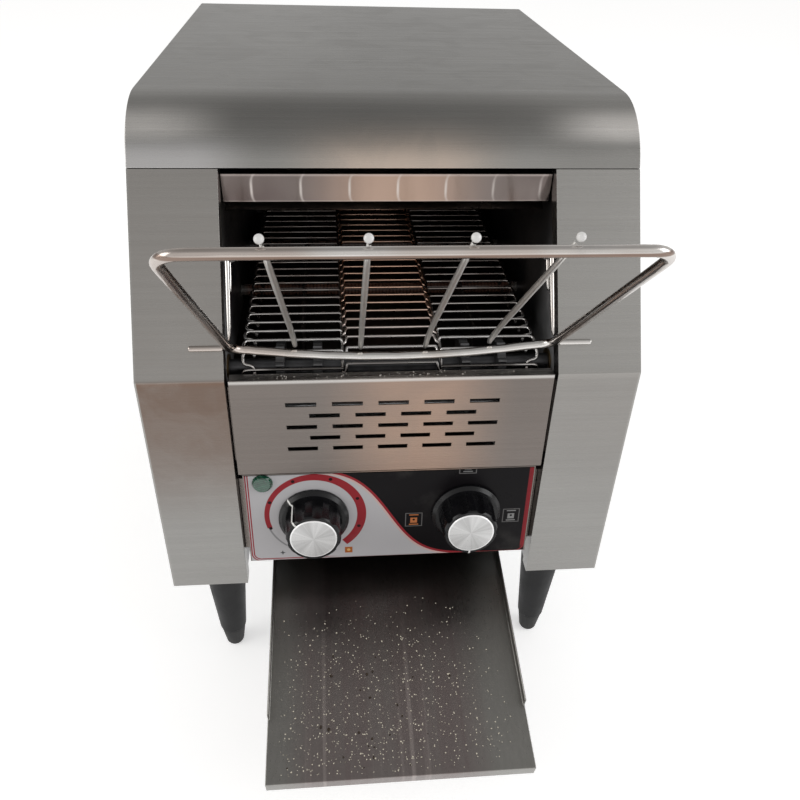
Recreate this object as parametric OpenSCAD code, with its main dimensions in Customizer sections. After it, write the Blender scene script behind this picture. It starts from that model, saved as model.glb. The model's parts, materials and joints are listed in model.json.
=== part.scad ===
// Counter-top conveyor toaster: a wire belt carries bread from the front mouth past two banks of
// heater tubes, the toast drops behind the belt and slides forward onto the tray under the controls.
// X runs across the machine, +Y to its back, +Z up. Sizes are in millimetres. The origin lies on the
// bench, below the middle of the machine's outline. Sheet parts are laid out from the hood's lip.

/* [Case] */
// Width over the two side covers
case_w = 288; // [280:1:310]
// Height of the hood's top above the bench
case_h = 387; // [384:0.5:392]
// Depth from the hood's front lip to the back panel
case_d = 351; // [349:1:370]
// Height of the hood above its front lip
hood_h = 31; // [29:0.5:33]
// Radius of the hood's rolled front edge
hood_r = 50; // [40:1:60]
// How far the column's knee stands in front of the lip
nose = 63; // [61:0.5:65]
// Height of the column's knee
knee_z = 257.5; // [256:0.5:259]
// How far the column's foot stands in front of the lip
toe = 67; // [66:0.5:69]
// Height of the underside of the body
body_z = 97; // [94:0.5:100]
// Width of each column beside the mouth
column_w = 49; // [46:0.5:50]
// Thickness of the outer sheet metal
sheet = 1; // [0.8:0.1:1.2]
// Depth of the hood's side flanges
flange = 12; // [8:1:20]
// Depth of the folded returns on sheet edges
fold = 10; // [6:1:11]
// Side louvres in each column
louvre_rows = 9; // [3:1:11]
// Length of a side louvre
louvre_l = 46; // [20:1:60]
// Height of a side louvre
louvre_h = 3; // [2:0.5:5]

/* [Mouth] */
// Height of the bright header strip
header_h = 15.5; // [12:0.5:17]
// Top of the header strip below the lip
header_drop = 5; // [4.5:0.5:6.5]
// Set-back of the header strip behind the lip
header_back = 5; // [4:0.5:8]

/* [Vent panel] */
// Gap between the slotted panel and each column
vent_side = 2; // [1.5:0.5:5]
// Height of the slotted panel's face
vent_h = 65.5; // [60:0.5:66.5]
// Lean of the slotted panel, in degrees
vent_tilt = 2.4; // [1:0.1:3]
// Depth of the ledge on top
ledge = 8; // [5:0.5:8.5]
// Length of one slot
slot_l = 17.6; // [10:0.2:20]
// Height of one slot
slot_h = 2.6; // [2:0.1:4]
// Distance between slots in a row
slot_step = 26.7; // [22:0.1:30]
// Distance between rows
row_step = 7.8; // [6:0.1:9]
// First row below the panel's top edge
row_first = 16.5; // [12:0.5:20]

/* [Controls] */
// Gap between the control panel and each column
control_side = 3.5; // [1.5:0.5:5]
// Height of the control panel along its face
control_h = 70.5; // [67:0.5:71.5]
// Height of its bottom edge above the bench
control_z = 117; // [116:0.5:119.5]
// Lean of the control panel, in degrees
control_tilt = 4.15; // [2:0.05:4.6]
// Thickness of the printed overlay
film = 0.4; // [0.2:0.1:0.6]
// Bare edge of the control panel around the overlay
film_edge = 0.8; // [0.5:0.1:2]
// Distance of each knob from the middle
knob_x = 49; // [40:0.5:55]
// Height of the knobs above the panel's bottom edge
knob_z = 35.9; // [32:0.1:39]
// Diameter of a knob's skirt
skirt_d = 44.5; // [38:0.5:46]
// Diameter of a knob's grip
grip_d = 35; // [30:0.5:37]
// Length of a knob
knob_l = 21; // [16:0.5:26]
// Diameter of the bright cap
cap_d = 29; // [24:0.5:29.5]
// Diameter of a control's spindle
spindle_d = 6; // [5:0.1:6.4]
// Diameter of the lamp's lens
lamp_d = 13.3; // [10.3:0.5:13.3]
// Lamp's distance from the control panel's side
lamp_in = 11.8; // [9.5:0.1:15]
// Lamp's height above the panel's bottom edge
lamp_z = 64; // [60:0.1:64.2]

/* [Belt] */
// Distance from one rung to the next
belt_pitch = 8; // [7.8:0.1:8.1]
// Whole pitches between the two shafts
belt_spans = 39; // [37:1:39]
// Room between the belt's edge loops and each column
belt_side = 8; // [7:0.5:20]
// Diameter of the belt's wire
wire_d = 1.6; // [1.4:0.1:1.7]
// Height of the rungs' middle on the upper run
belt_z = 265; // [263:0.5:267]
// Front shaft behind the columns' knee
shaft_back = 27; // [26:0.5:30]
// Diameter of the belt shafts
shaft_d = 10; // [8:0.5:12]
// Width of a belt wheel
wheel_w = 5; // [3:0.5:8]

/* [Heaters] */
// Tubes above the belt
upper_count = 4; // [2:1:4]
// Diameter of an upper tube
upper_d = 10; // [8:0.5:11]
// Height of the upper tubes above the belt
upper_rise = 59; // [55:0.5:62]
// Tubes between the belt's two runs
lower_count = 3; // [2:1:4]
// Diameter of a lower tube
lower_d = 8; // [6:0.5:8.5]
// First tube behind the lip
heater_first = 60; // [50:1:70]
// Distance between upper tubes
heater_step = 50; // [40:1:55]

/* [Drive] */
// Pitch of the drive chain
chain_pitch = 6.35; // [6.2:0.05:6.5]
// Teeth on each of the two chain wheels
chain_teeth = 12; // [11:1:13]
// Whole pitches between the chain wheels
chain_spans = 17; // [15:1:18]
// Direction from the drive shaft to the motor, in degrees
chain_dir = 220; // [215:1:225]
// Diameter of the gear motor
motor_d = 56; // [40:1:58]
// Depth of the gear motor
motor_l = 22; // [16:1:23]

/* [Chute and tray] */
// Slope of the return chute, in degrees
chute_slope = 20; // [18:0.5:21]
// Radius of the chute's turn
chute_r = 60; // [50:1:62]
// Room between the tray and each column
tray_room = 16; // [12:0.5:25]
// Length of the tray along its slope
tray_l = 310; // [300:1:316]
// Slope of the tray, in degrees
tray_slope = 11.7; // [11.2:0.1:12]
// How far the tray stands in front of the lip
tray_out = 188.6; // [180:0.2:194]
// Height of the tray's front edge
tray_z = 63.7; // [62:0.1:65]
// Height of the tray's front lip
tray_lip = 9; // [6:0.5:14]
// Height of the tray's side flanges
tray_side = 7; // [4:0.5:8]

/* [Loading rack] */
// Diameter of the rack's frame wire
frame_d = 5; // [4:0.1:5.4]
// Diameter of the ribs
rib_d = 3; // [2:0.1:3.4]
// Room between the frame's lower corners and each column
rack_side = 3; // [3:0.5:7]
// How far the frame's upper corners stand out past the lower ones
rack_flare = 7.5; // [-2:0.5:13]
// Distance between ribs at their lower ends
rib_step = 37; // [32:0.5:39]
// Length of the rack along its slope
rack_l = 148; // [120:1:160]
// Slope of the rack, in degrees
rack_slope = 44.7; // [42:0.1:50]
// Height of the spikes that lie on the columns
rod_z = 274; // [272:0.5:276]
// How far the spikes stand out past the frame's lower corners
spike_l = 21.5; // [10:0.5:28]
// Diameter of the spikes
rod_d = 3.2; // [2.6:0.1:3.6]
// Length of the hooks along the columns
hook_l = 50; // [44:0.5:51]
// Sag of the rack's lower bar
rack_bow = 6; // [0:0.5:7]

/* [Legs] */
// Distance of the legs from the side covers' outer faces
leg_in = 29; // [26:0.5:32]
// Front legs in front of the lip
leg_front = 36; // [30:1:42]
// Rear legs in front of the back panel
leg_rear = 40; // [30:1:60]
// Diameter of a leg at its top
leg_d = 30; // [24:0.5:31]
// Diameter of a leg at its lower end
ankle_d = 19; // [16:0.5:22]
// Height of the screwed foot
foot_h = 19; // [15:0.5:24]
// Diameter of the foot's sole
sole_d = 13; // [10:0.5:16]
// Diameter of the foot's screw
screw_d = 8; // [6:0.5:8.5]

/* [Hidden] */
$fn = 48;

// clearances
fit = 0.05;          // radial, for turning and seated round parts
gap = 0.3;           // between separate pieces that lie together
free = 0.6;          // around pieces that pass through sheet metal
eps = 0.5;           // overshoot of a cut

// case
half_w = case_w / 2;
lip_z = case_h - hood_h;
mouth_x = half_w - column_w;
wall_x = mouth_x + sheet;
wall_out = wall_x + sheet;
cover_in = half_w - sheet;
lean = atan2(nose, lip_z - knee_z);
roll_y = hood_r * sin(acos(1 - hood_h / hood_r));
gland_d = 22;
gland_out = 9;
gland_bore = 9;
gland_x = half_w - 32;
gland_z = body_z + 33;
terminal_l = 50;
terminal_w = 18;
terminal_h = 24;
terminal_back = 40;
terminal_step = 15;
leg_x = half_w - leg_in;
lip_y = (tray_out - case_d - gland_out) / 2;
panel_y = case_d - sheet;
wall_top = case_h - 15;
floor_open = 60;
screw_head_d = 7;
screw_head_h = 1.8;
screw_shank_d = 3;

// front panels
vent_w = 2 * (mouth_x - vent_side);
control_w = 2 * (mouth_x - control_side);
lamp_x = control_w / 2 - lamp_in;
lamp_body_d = lamp_d - 3.3;
control_y = -nose - 3.6;
spindle_out = 16;
shield_y = -4;
shield_rise = 14;
shield_top = belt_z - 36;

// belt, wound on wheels with twelve teeth
belt_teeth = 12;
wheel_r = belt_pitch / 2 / sin(180 / belt_teeth);
front_y = shaft_back - nose;
rear_y = front_y + belt_spans * belt_pitch;
shaft_z = belt_z - wheel_r;
link_count = 2 * belt_spans + belt_teeth;
wire_r = wire_d / 2 * 1.15;
loop_r = 0.4 * belt_pitch;
belt_w = 2 * (mouth_x - belt_side);
rung_x = belt_w / 2 - loop_r - wire_d / 2;
joggle_x = rung_x / 3;
joggle_w = 2.2;
joggle_back = 1.35 * belt_pitch;
joggle_drop = wire_d + 0.5;
hook_in = 4;
wheel_x = [0.52 * rung_x, 0.78 * rung_x];

// drive on the right-hand side
chain_r = chain_pitch / 2 / sin(180 / chain_teeth);
chain_x = wall_out + motor_l + 11;
roller_d = 3.3;
free_roller_r = norm([chain_r, chain_pitch]);
free_roller_side = free_roller_r * sin(360 / chain_teeth - atan(chain_pitch / chain_r));
plate_t = 0.8;
plate_h = 5.4;
chain_in = 3;
sprocket_t = 2.4;
motor_y = rear_y + chain_spans * chain_pitch * cos(chain_dir);
motor_z = shaft_z + chain_spans * chain_pitch * sin(chain_dir);
bracket_t = 2;
motor_shaft_d = 8;
bush_d = 16;
bush_flange = 22;
bush_l = 8;

// heaters
upper_z = belt_z + upper_rise;
lower_z = belt_z - 14;
tube_l = 2 * (wall_out + 12);
cap_wall = 4;
cap_l = 10;
ceiling_gap = 8;
ceiling_past = 40;
ceiling_bend = 12;
lower_step = (upper_count - 1) * heater_step / (lower_count - 1);
upper_y = [for (i = [0 : upper_count - 1]) heater_first + i * heater_step];
lower_y = [for (i = [0 : lower_count - 1]) heater_first + i * lower_step];

// chute and tray
tray_w = 2 * (mouth_x - tray_room);
chute_y = case_d - 13;
chute_low_y = 100;
chute_low_z = tray_z + (chute_low_y + tray_out) * tan(tray_slope) + tray_side + 6;
chute_top = belt_z + 45;
bend_y = chute_y - chute_r + chute_r * sin(chute_slope);
bend_z = chute_low_z + (bend_y - chute_low_y) * tan(chute_slope) + chute_r * cos(chute_slope);
rail_t = 1.5;
rail_lap = 6;
rail_h = 12;
rail_start = 20;
rail_past = 118;

// loading rack
rack_low_w = 2 * (mouth_x - rack_side);
rack_top_w = rack_low_w + 2 * rack_flare;
rod_l = rack_low_w + 2 * spike_l;
rod_r = rod_d / 2;
rod_y = -(lip_z - rod_z) * tan(lean) - (rod_r + gap) / cos(lean);
frame_drop = (frame_d + rod_d) / 2 + gap;
corner_r = 12;
low_corner_r = 10;
low_corner_s = low_corner_r - frame_drop;
low_corner_x = rack_low_w / 2 - low_corner_r;
cross_x = sqrt(pow(low_corner_r, 2) - pow(low_corner_s, 2));
cross_gap = ((frame_d / 2 + gap) * low_corner_r + rod_r * low_corner_s) / cross_x;
rib_pitch = rack_top_w / 5;
rib_lift = (frame_d + rib_d) / 2 + 0.1;
tip_d = 5;
tip_out = 4.5;
hook_x = mouth_x - 4;
hook_d = 2.6;
hook_r = 4;
hook_tail = 20;

// ------------------------------------------------------------------ helpers

module at_lip() {
  translate([0, lip_y, 0])
    children();
}

// a profile drawn in y and z, drawn out along x between two values
module across(x0, x1) {
  translate([x0, 0, 0])
    rotate([90, 0, 90])
      linear_extrude(height = x1 - x0)
        children();
}

module both_sides() {
  children();
  mirror([1, 0, 0])
    children();
}

// a sheet of thickness t folded along a line of points
module folded(points, t) {
  for (i = [0 : len(points) - 2]) {
    d = points[i + 1] - points[i];
    translate(points[i])
      rotate(atan2(d[1], d[0]))
        translate([0, -t / 2])
          square([norm(d), t]);
    if (i > 0)
      translate(points[i])
        circle(d = t, $fn = 24);
  }
}

// a round bar along x
module bar_x(x0, x1, d) {
  translate([x0, 0, 0])
    rotate([0, 90, 0])
      cylinder(d = d, h = x1 - x0);
}

module ring_x(x0, x1, outer, inner) {
  difference() {
    bar_x(x0, x1, outer);
    bar_x(x0 - eps, x1 + eps, inner);
  }
}

module block(x, y, z) {
  translate([x[0], y[0], z[0]])
    cube([x[1] - x[0], y[1] - y[0], z[1] - z[0]]);
}

// wires: rings of points round a path, mitred at its corners
function unit(v) = v / norm(v);
function steps(p) = [for (i = [0 : len(p) - 2]) unit(p[i + 1] - p[i])];
function carried(n, a, b) = n - (n * b) / (1 + a * b) * (a + b);
function normals(t, n0) =
  [for (i = 0, n = n0; i < len(t); n = i < len(t) - 1 ? carried(n, t[i], t[i + 1]) : n, i = i + 1) n];
function ring(p, a, b, n, r, k) =
  [for (j = [0 : k - 1])
    let (w = r * (cos(360 * j / k) * n + sin(360 * j / k) * cross(a, n)), m = a + b)
      p + w - a * ((w * m) / (a * m))];
function wire_points(path, r, k, n0) =
  let (t = steps(path), n = normals(t, n0), last = len(path) - 1)
    [for (i = [0 : last])
      each ring(path[i], t[max(i - 1, 0)], t[min(i, last - 1)], n[max(i - 1, 0)], r, k)];
function side_faces(rings, k, o) =
  [for (i = [0 : rings - 2], j = [0 : k - 1])
    let (a = o + i * k, b = a + k, m = (j + 1) % k) [a + j, b + j, b + m, a + m]];
function wire_faces(rings, k, o) =
  concat([[for (j = [0 : k - 1]) o + j]], side_faces(rings, k, o),
    [[for (j = [0 : k - 1]) o + rings * k - 1 - j]]);

module wire(path, r, k, n0) {
  polyhedron(points = wire_points(path, r, k, n0), faces = wire_faces(len(path), k, 0));
}

// a closed flat loop of wire; n0 is square to its plane
module closed_wire(path, r, k, n0) {
  n = len(path);
  points = [for (i = [0 : n - 1])
    let (a = unit(path[i] - path[(i + n - 1) % n]), b = unit(path[(i + 1) % n] - path[i]))
      each ring(path[i], a, b, n0, r, k)];
  faces = [for (i = [0 : n - 1], j = [0 : k - 1])
    let (a = i * k, b = ((i + 1) % n) * k, m = (j + 1) % k) [a + j, b + j, b + m, a + m]];
  polyhedron(points = points, faces = faces);
}

// ------------------------------------------------------------------ case

// the hood seen from the side, d inside its skin, down to height z0 and back to y1
module hood_outline(d, z0, y1) {
  intersection() {
    union() {
      translate([roll_y, case_h - hood_r])
        circle(r = hood_r - d, $fn = 96);
      translate([roll_y, z0 - 1])
        square([case_d, case_h - d - z0 + 1]);
    }
    translate([-1, z0])
      square([y1 + 1, case_h]);
  }
}

module hood() {
  color("silver")
    at_lip()
      union() {
        across(-half_w, half_w)
          union() {
            difference() {
              hood_outline(0, lip_z, case_d);
              hood_outline(sheet, lip_z - 1, case_d + 1);
            }
            intersection() {
              hood_outline(0, lip_z, case_d);
              translate([0, lip_z])
                square([header_back - gap, sheet]);
            }
          }
        both_sides()
          across(cover_in, half_w)
            difference() {
              hood_outline(0, lip_z, panel_y - gap);
              hood_outline(flange, lip_z - 1, panel_y);
            }
      }
}

// outline of one side cover's flat side
module side_outline() {
  union() {
    polygon([[0, lip_z - gap], [-nose, knee_z], [-toe, body_z], [panel_y - gap, body_z],
      [panel_y - gap, lip_z - gap]]);
    hood_outline(flange + gap, lip_z - 2, panel_y - gap);
  }
}

// the column's bent front, as deep as d behind its face
module column_skin(d) {
  polygon([[0, lip_z - gap], [-nose, knee_z], [-toe, body_z], [d - toe, body_z],
    [d - nose, knee_z - d * tan(lean / 2)], [d / cos(lean), lip_z - gap]]);
}

module side_cover() {
  difference() {
    union() {
      across(cover_in, half_w)
        side_outline();
      across(mouth_x, half_w)
        column_skin(sheet);
      across(mouth_x, wall_x)
        column_skin(fold);
    }
    louvres();
    side_screws()
      rotate([0, 90, 0])
        cylinder(d = screw_shank_d + 2 * fit, h = 4 * sheet, center = true);
  }
}

module louvres() {
  for (c = [0 : 1], i = [0 : louvre_rows - 1])
    translate([cover_in - eps, case_d * (0.52 + 0.2 * c) - louvre_l / 2, body_z + 40 + i * 12])
      cube([sheet + 2 * eps, louvre_l, louvre_h]);
}

// places of the screws on the right side
module side_screws() {
  for (y = [8 - nose, case_d / 2, case_d - 12])
    translate([half_w, y, body_z + 8])
      children();
  for (y = [case_d / 2, case_d - 12])
    translate([half_w, y, case_h - flange - 12])
      children();
}

module side_cover_right() {
  color("silver")
    at_lip()
      side_cover();
}

module side_cover_left() {
  color("silver")
    at_lip()
      mirror([1, 0, 0])
        side_cover();
}

module inner_wall() {
  difference() {
    across(wall_x, wall_out)
      polygon([[2 * sheet, lip_z - 2], [2 * sheet - nose, knee_z - sheet],
        [2 * sheet - toe, body_z + sheet], [panel_y - gap, body_z + sheet],
        [panel_y - gap, wall_top], [30, wall_top]]);
    for (y = [front_y, rear_y])
      translate([0, y, shaft_z])
        bar_x(wall_x - eps, wall_out + eps, bush_d + 2 * fit);
    for (y = upper_y)
      translate([0, y, upper_z])
        bar_x(wall_x - eps, wall_out + eps, upper_d + 2 * free);
    for (y = lower_y)
      translate([0, y, lower_z])
        bar_x(wall_x - eps, wall_out + eps, lower_d + 2 * free);
  }
}

module inner_wall_right() {
  color("dimgray")
    at_lip()
      inner_wall();
}

module inner_wall_left() {
  color("dimgray")
    at_lip()
      mirror([1, 0, 0])
        inner_wall();
}

module base_plate() {
  color("darkgray")
    at_lip()
      difference() {
        block([gap - cover_in, cover_in - gap], [sheet + gap - toe, panel_y - gap],
          [body_z, body_z + sheet]);
        block([-wall_x - gap, wall_x + gap], [-toe - eps, floor_open],
          [body_z - eps, body_z + sheet + eps]);
        for (c = [-3 : 3], r = [0 : 3])
          translate([c * 24 - 8, floor_open + 40 + r * 50, body_z - eps])
            cube([16, 4, sheet + 2 * eps]);
      }
}

// places of the screws on the back
module back_screws() {
  for (x = [-half_w + 10, 0, half_w - 10], z = [body_z + 8, case_h - 14])
    translate([x, case_d, z])
      children();
}

module back_panel() {
  color("silver")
    at_lip()
      difference() {
        block([-half_w, half_w], [panel_y, case_d], [body_z, case_h - sheet - gap]);
        translate([gland_x, 0, gland_z])
          rotate([-90, 0, 0])
            translate([0, 0, panel_y - eps])
              cylinder(d = gland_d - 6 + 2 * fit, h = sheet + 2 * eps);
        for (c = [-1, 1], i = [0 : 7])
          translate([c * 74 - 35, panel_y - eps, body_z + 110 + i * 12])
            cube([70, sheet + 2 * eps, louvre_h]);
        back_screws()
          rotate([90, 0, 0])
            cylinder(d = screw_shank_d + 2 * fit, h = 4 * sheet, center = true);
      }
}

module cable_gland() {
  color("black")
    at_lip()
      translate([gland_x, case_d, gland_z])
        rotate([-90, 0, 0])
          difference() {
            union() {
              cylinder(d1 = gland_d, d2 = gland_d - 6, h = gland_out);
              translate([0, 0, -sheet - 9])
                cylinder(d = gland_d - 6, h = sheet + 9);
              translate([0, 0, -sheet - 7])
                cylinder(d = gland_d, h = 7, $fn = 6);
            }
            translate([0, 0, -20])
              cylinder(d = gland_bore, h = 40);
          }
}

module header_strip() {
  color("gainsboro")
    at_lip()
      difference() {
        across(gap - mouth_x - sheet, mouth_x + sheet - gap)
          folded([[header_back + fold, lip_z - header_drop], [header_back, lip_z - header_drop],
            [header_back, lip_z - header_drop - header_h],
            [header_back + fold, lip_z - header_drop - header_h - 1]], sheet);
        both_sides()
          block([mouth_x - gap, mouth_x + 2 * sheet], [-fold, fold + 2.5],
            [knee_z, lip_z + eps]);
      }
}

// ------------------------------------------------------------------ front panels

// returns on a panel's sides, with ears that reach the column returns
module side_ears(x, d, z0, z1) {
  both_sides() {
    block([x - sheet, x], [sheet / 2, d], [z0, z1]);
    block([x - sheet, mouth_x - gap], [d - 2, d], [z0 + 6, z1 - 6]);
  }
}

module vent_panel() {
  top = knee_z - gap;
  color("silver")
    at_lip()
      translate([0, -nose, top])
        rotate([-vent_tilt, 0, 0])
          difference() {
            union() {
              across(-vent_w / 2, vent_w / 2)
                folded([[ledge, -sheet / 2], [sheet / 2, -sheet / 2], [sheet / 2, -vent_h],
                  [4, -vent_h]], sheet);
              side_ears(vent_w / 2, ledge, -vent_h, -sheet);
            }
            for (r = [0 : 4], c = [0 : 4 - r % 2])
              translate([(c - 2 + (r % 2) / 2) * slot_step - slot_l / 2, -sheet,
                -row_first - r * row_step - slot_h / 2])
                cube([slot_l, 3 * sheet, slot_h]);
          }
}

// the control panel's own frame: y into the machine, z up along its face
module on_panel() {
  at_lip()
    translate([0, control_y, control_z])
      rotate([-control_tilt, 0, 0])
        children();
}

module along_spindle(x) {
  translate([x, 0, knob_z])
    rotate([90, 0, 0])
      children();
}

module control_panel() {
  color("silver")
    on_panel()
      difference() {
        union() {
          across(-control_w / 2, control_w / 2)
            folded([[fold, sheet / 2], [film + sheet / 2, sheet / 2],
              [film + sheet / 2, control_h - sheet / 2], [fold - 2, control_h - sheet / 2]], sheet);
          translate([0, film, 0])
            side_ears(control_w / 2, fold - 2, sheet, control_h - sheet);
        }
        for (x = [-knob_x, knob_x])
          along_spindle(x)
            cylinder(d = spindle_d + 2 * free, h = 10, center = true);
        translate([-lamp_x, 0, lamp_z])
          rotate([90, 0, 0])
            cylinder(d = lamp_body_d + 2 * fit, h = 10, center = true);
      }
}

module control_overlay() {
  color("lightgray")
    on_panel()
      difference() {
        block([film_edge - control_w / 2, control_w / 2 - film_edge], [0, film],
          [film_edge, control_h - film_edge]);
        for (x = [-knob_x, knob_x])
          along_spindle(x)
            cylinder(d = spindle_d + 2 * free, h = 10, center = true);
        translate([-lamp_x, 0, lamp_z])
          rotate([90, 0, 0])
            cylinder(d = lamp_body_d + 2 * fit, h = 10, center = true);
      }
}

module power_lamp() {
  color("green")
    on_panel()
      translate([-lamp_x, 0, lamp_z])
        rotate([90, 0, 0])
          union() {
            cylinder(d1 = lamp_d, d2 = lamp_d - 3, h = 2.5);
            translate([0, 0, -22])
              cylinder(d = lamp_body_d, h = 22);
          }
}

// sheet box that keeps heat and crumbs off the controls
module control_shield() {
  color("darkgray")
    at_lip()
      across(gap - wall_x, wall_x - gap)
        folded([[control_y + fold + 2, control_z + sheet + gap], [shield_y - 4, control_z + shield_rise],
          [shield_y, control_z + shield_rise + 4], [shield_y, shield_top],
          [fold + 2 - nose, shield_top + 2]], sheet);
}

// turned body of the speed controller, with a nose that seats behind the panel
module speed_controller() {
  y0 = film + sheet;
  color("slategray")
    on_panel()
      along_spindle(-knob_x)
        difference() {
          union() {
            translate([0, 0, -y0 - 22])
              cylinder(d = 28, h = 22);
            translate([-9, 10, -y0 - 20])
              cube([18, 8, 3]);
          }
          translate([0, 0, -y0 - spindle_out])
            cylinder(d = spindle_d + 2 * fit, h = 40);
        }
}

module selector_switch() {
  y0 = film + sheet;
  color("dimgray")
    on_panel()
      along_spindle(knob_x)
        difference() {
          union() {
            translate([-15, -15, -y0 - 34])
              cube([30, 30, 34]);
            for (i = [0 : 2])
              translate([-18, -12, -y0 - 32 + i * 9])
                cube([36, 24, 4]);
          }
          translate([0, 0, -y0 - spindle_out])
            cylinder(d = spindle_d + 2 * fit, h = 40);
        }
}

module spindle(x) {
  on_panel()
    along_spindle(x)
      translate([0, 0, -film - sheet - spindle_out + gap])
        cylinder(d = spindle_d, h = spindle_out + film + sheet + knob_l - 6);
}

module speed_spindle() {
  color("gainsboro")
    spindle(-knob_x);
}

module selector_spindle() {
  color("gainsboro")
    spindle(knob_x);
}

// a stepped, fluted knob; its pointer rib lies at angle a, clockwise from the top
module knob(x, a) {
  on_panel()
    along_spindle(x)
      rotate(180 - a)
        difference() {
          union() {
            translate([0, 0, gap])
              cylinder(d = skirt_d, h = 2);
            translate([0, 0, gap + 2])
              cylinder(d1 = skirt_d, d2 = skirt_d - 4, h = 2);
            cylinder_grip();
            translate([-0.8, 2.4 - grip_d / 2 - 3, gap + 4])
              cube([1.6, 3.6, knob_l - 5.5]);
          }
          for (i = [0 : 9])
            rotate(198 + 36 * i)
              translate([0, grip_d / 2 + 4, gap + 4])
                cylinder(d = 11, h = knob_l);
          translate([0, 0, knob_l - 1])
            cylinder(d = cap_d + 2 * fit, h = 5);
          translate([0, 0, -eps])
            cylinder(d = spindle_d + 2 * fit, h = knob_l - 5 + eps);
        }
}

module cylinder_grip() {
  translate([0, 0, gap + 3])
    cylinder(d1 = grip_d + 1, d2 = grip_d - 1, h = knob_l - gap - 4);
  translate([0, 0, knob_l - 1.01])
    cylinder(d1 = grip_d - 1, d2 = grip_d - 2.6, h = 1);
}

module speed_knob() {
  color("black")
    knob(-knob_x, -45);
}

module selector_knob() {
  color("black")
    knob(knob_x, 180);
}

module knob_cap(x) {
  on_panel()
    along_spindle(x)
      translate([0, 0, knob_l - 1])
        cylinder(d = cap_d, h = 1.4);
}

module speed_knob_cap() {
  color("whitesmoke")
    knob_cap(-knob_x);
}

module selector_knob_cap() {
  color("whitesmoke")
    knob_cap(knob_x);
}

// ------------------------------------------------------------------ heaters

module heater_tube(d) {
  bar_x(-tube_l / 2, tube_l / 2, d);
  both_sides()
    bar_x(tube_l / 2 - eps, tube_l / 2 + 6, d / 3);
}

module upper_heaters() {
  color("mistyrose")
    at_lip()
      for (y = upper_y)
        translate([0, y, upper_z])
          heater_tube(upper_d);
}

module lower_heaters() {
  color("mistyrose")
    at_lip()
      for (y = lower_y)
        translate([0, y, lower_z])
          heater_tube(lower_d);
}

// ceramic caps that hold the tubes in the inner walls
module heater_end_caps() {
  color("ivory")
    at_lip()
      both_sides() {
        for (y = upper_y)
          translate([0, y, upper_z])
            ring_x(wall_out, wall_out + cap_l, upper_d + 2 * cap_wall, upper_d + 2 * fit);
        for (y = lower_y)
          translate([0, y, lower_z])
            ring_x(wall_out, wall_out + cap_l, lower_d + 2 * cap_wall, lower_d + 2 * fit);
      }
}

// folded ceiling over the upper tubes
module upper_reflector() {
  z = upper_z + upper_d / 2 + ceiling_gap;
  y0 = header_back + fold + 4;
  y1 = upper_y[upper_count - 1] + ceiling_past;
  color("lightsteelblue")
    at_lip()
      across(gap - wall_x, wall_x - gap)
        folded([[y0, z - ceiling_bend], [y0 + ceiling_bend, z], [y1 - ceiling_bend - 2, z],
          [y1, z - ceiling_bend - 2]], sheet);
}

// plate under the lower tubes; its two upright strips carry the upper run
module lower_reflector() {
  z = shaft_z - wheel_r + joggle_drop + wire_d / 2 + 3.5;
  top = belt_z - wire_r - gap;
  y0 = front_y + wheel_r + 6;
  y1 = rear_y - wheel_r - 6;
  color("lightsteelblue")
    at_lip()
      difference() {
        union() {
          block([gap - wall_x, wall_x - gap], [y0, y1], [z, z + sheet]);
          for (x = [-1, 1])
            block([x * joggle_x * 1.9 - sheet / 2, x * joggle_x * 1.9 + sheet / 2], [y0, y1], [z, top]);
        }
        for (y = lower_y)
          translate([0, y, lower_z])
            bar_x(-wall_x, wall_x, lower_d + 2 * free);
      }
}

// ------------------------------------------------------------------ belt and drive

// the belt's path: wheel corners and whole pitches between them
function belt_point(i) =
  i <= belt_spans ? [front_y + i * belt_pitch, shaft_z + wheel_r] :
  i <= belt_spans + belt_teeth / 2 ?
    let (a = 90 - (i - belt_spans) * 360 / belt_teeth)
      [rear_y + wheel_r * cos(a), shaft_z + wheel_r * sin(a)] :
  i <= 2 * belt_spans + belt_teeth / 2 ?
    [rear_y - (i - belt_spans - belt_teeth / 2) * belt_pitch, shaft_z - wheel_r] :
    let (a = 270 - (i - 2 * belt_spans - belt_teeth / 2) * 360 / belt_teeth)
      [front_y + wheel_r * cos(a), shaft_z + wheel_r * sin(a)];

// one strand on link i: across, forward along the belt, and outward
function on_link(i, q) =
  let (p = belt_point(i), u = unit(p - belt_point((i + link_count - 1) % link_count)))
    [q[0], p[0] + q[1] * u[0] - q[2] * u[1], p[1] + q[1] * u[1] + q[2] * u[0]];

// right half of a woven strand: a joggle under the next rung, then the edge loop and its hook
right_half = [
  [joggle_x - joggle_w, -joggle_back, 0],
  [joggle_x - joggle_w, -joggle_back, -joggle_drop],
  [joggle_x + joggle_w, 0, -joggle_drop],
  [joggle_x + joggle_w, 0, 0],
  [rung_x, 0, 0],
  [rung_x + 0.87 * loop_r, -loop_r * 0.5, -joggle_drop / 4],
  [rung_x + 0.87 * loop_r, -loop_r * 1.5, -joggle_drop * 3 / 4],
  [rung_x, -loop_r * 2, -joggle_drop],
  [rung_x - hook_in, -joggle_back, -joggle_drop]];
// right half of a strand on the returning run
plain_half = [[rung_x + loop_r, 0, 0], [rung_x + loop_r, wire_r + gap - belt_pitch, 0]];

function whole(half) =
  concat([for (i = [len(half) - 1 : -1 : 0]) [-half[i][0], half[i][1], half[i][2]]], half);
function strand(i) =
  [for (q = whole(i <= belt_spans + 1 || i > link_count - 7 ? right_half : plain_half)) on_link(i, q)];

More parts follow.
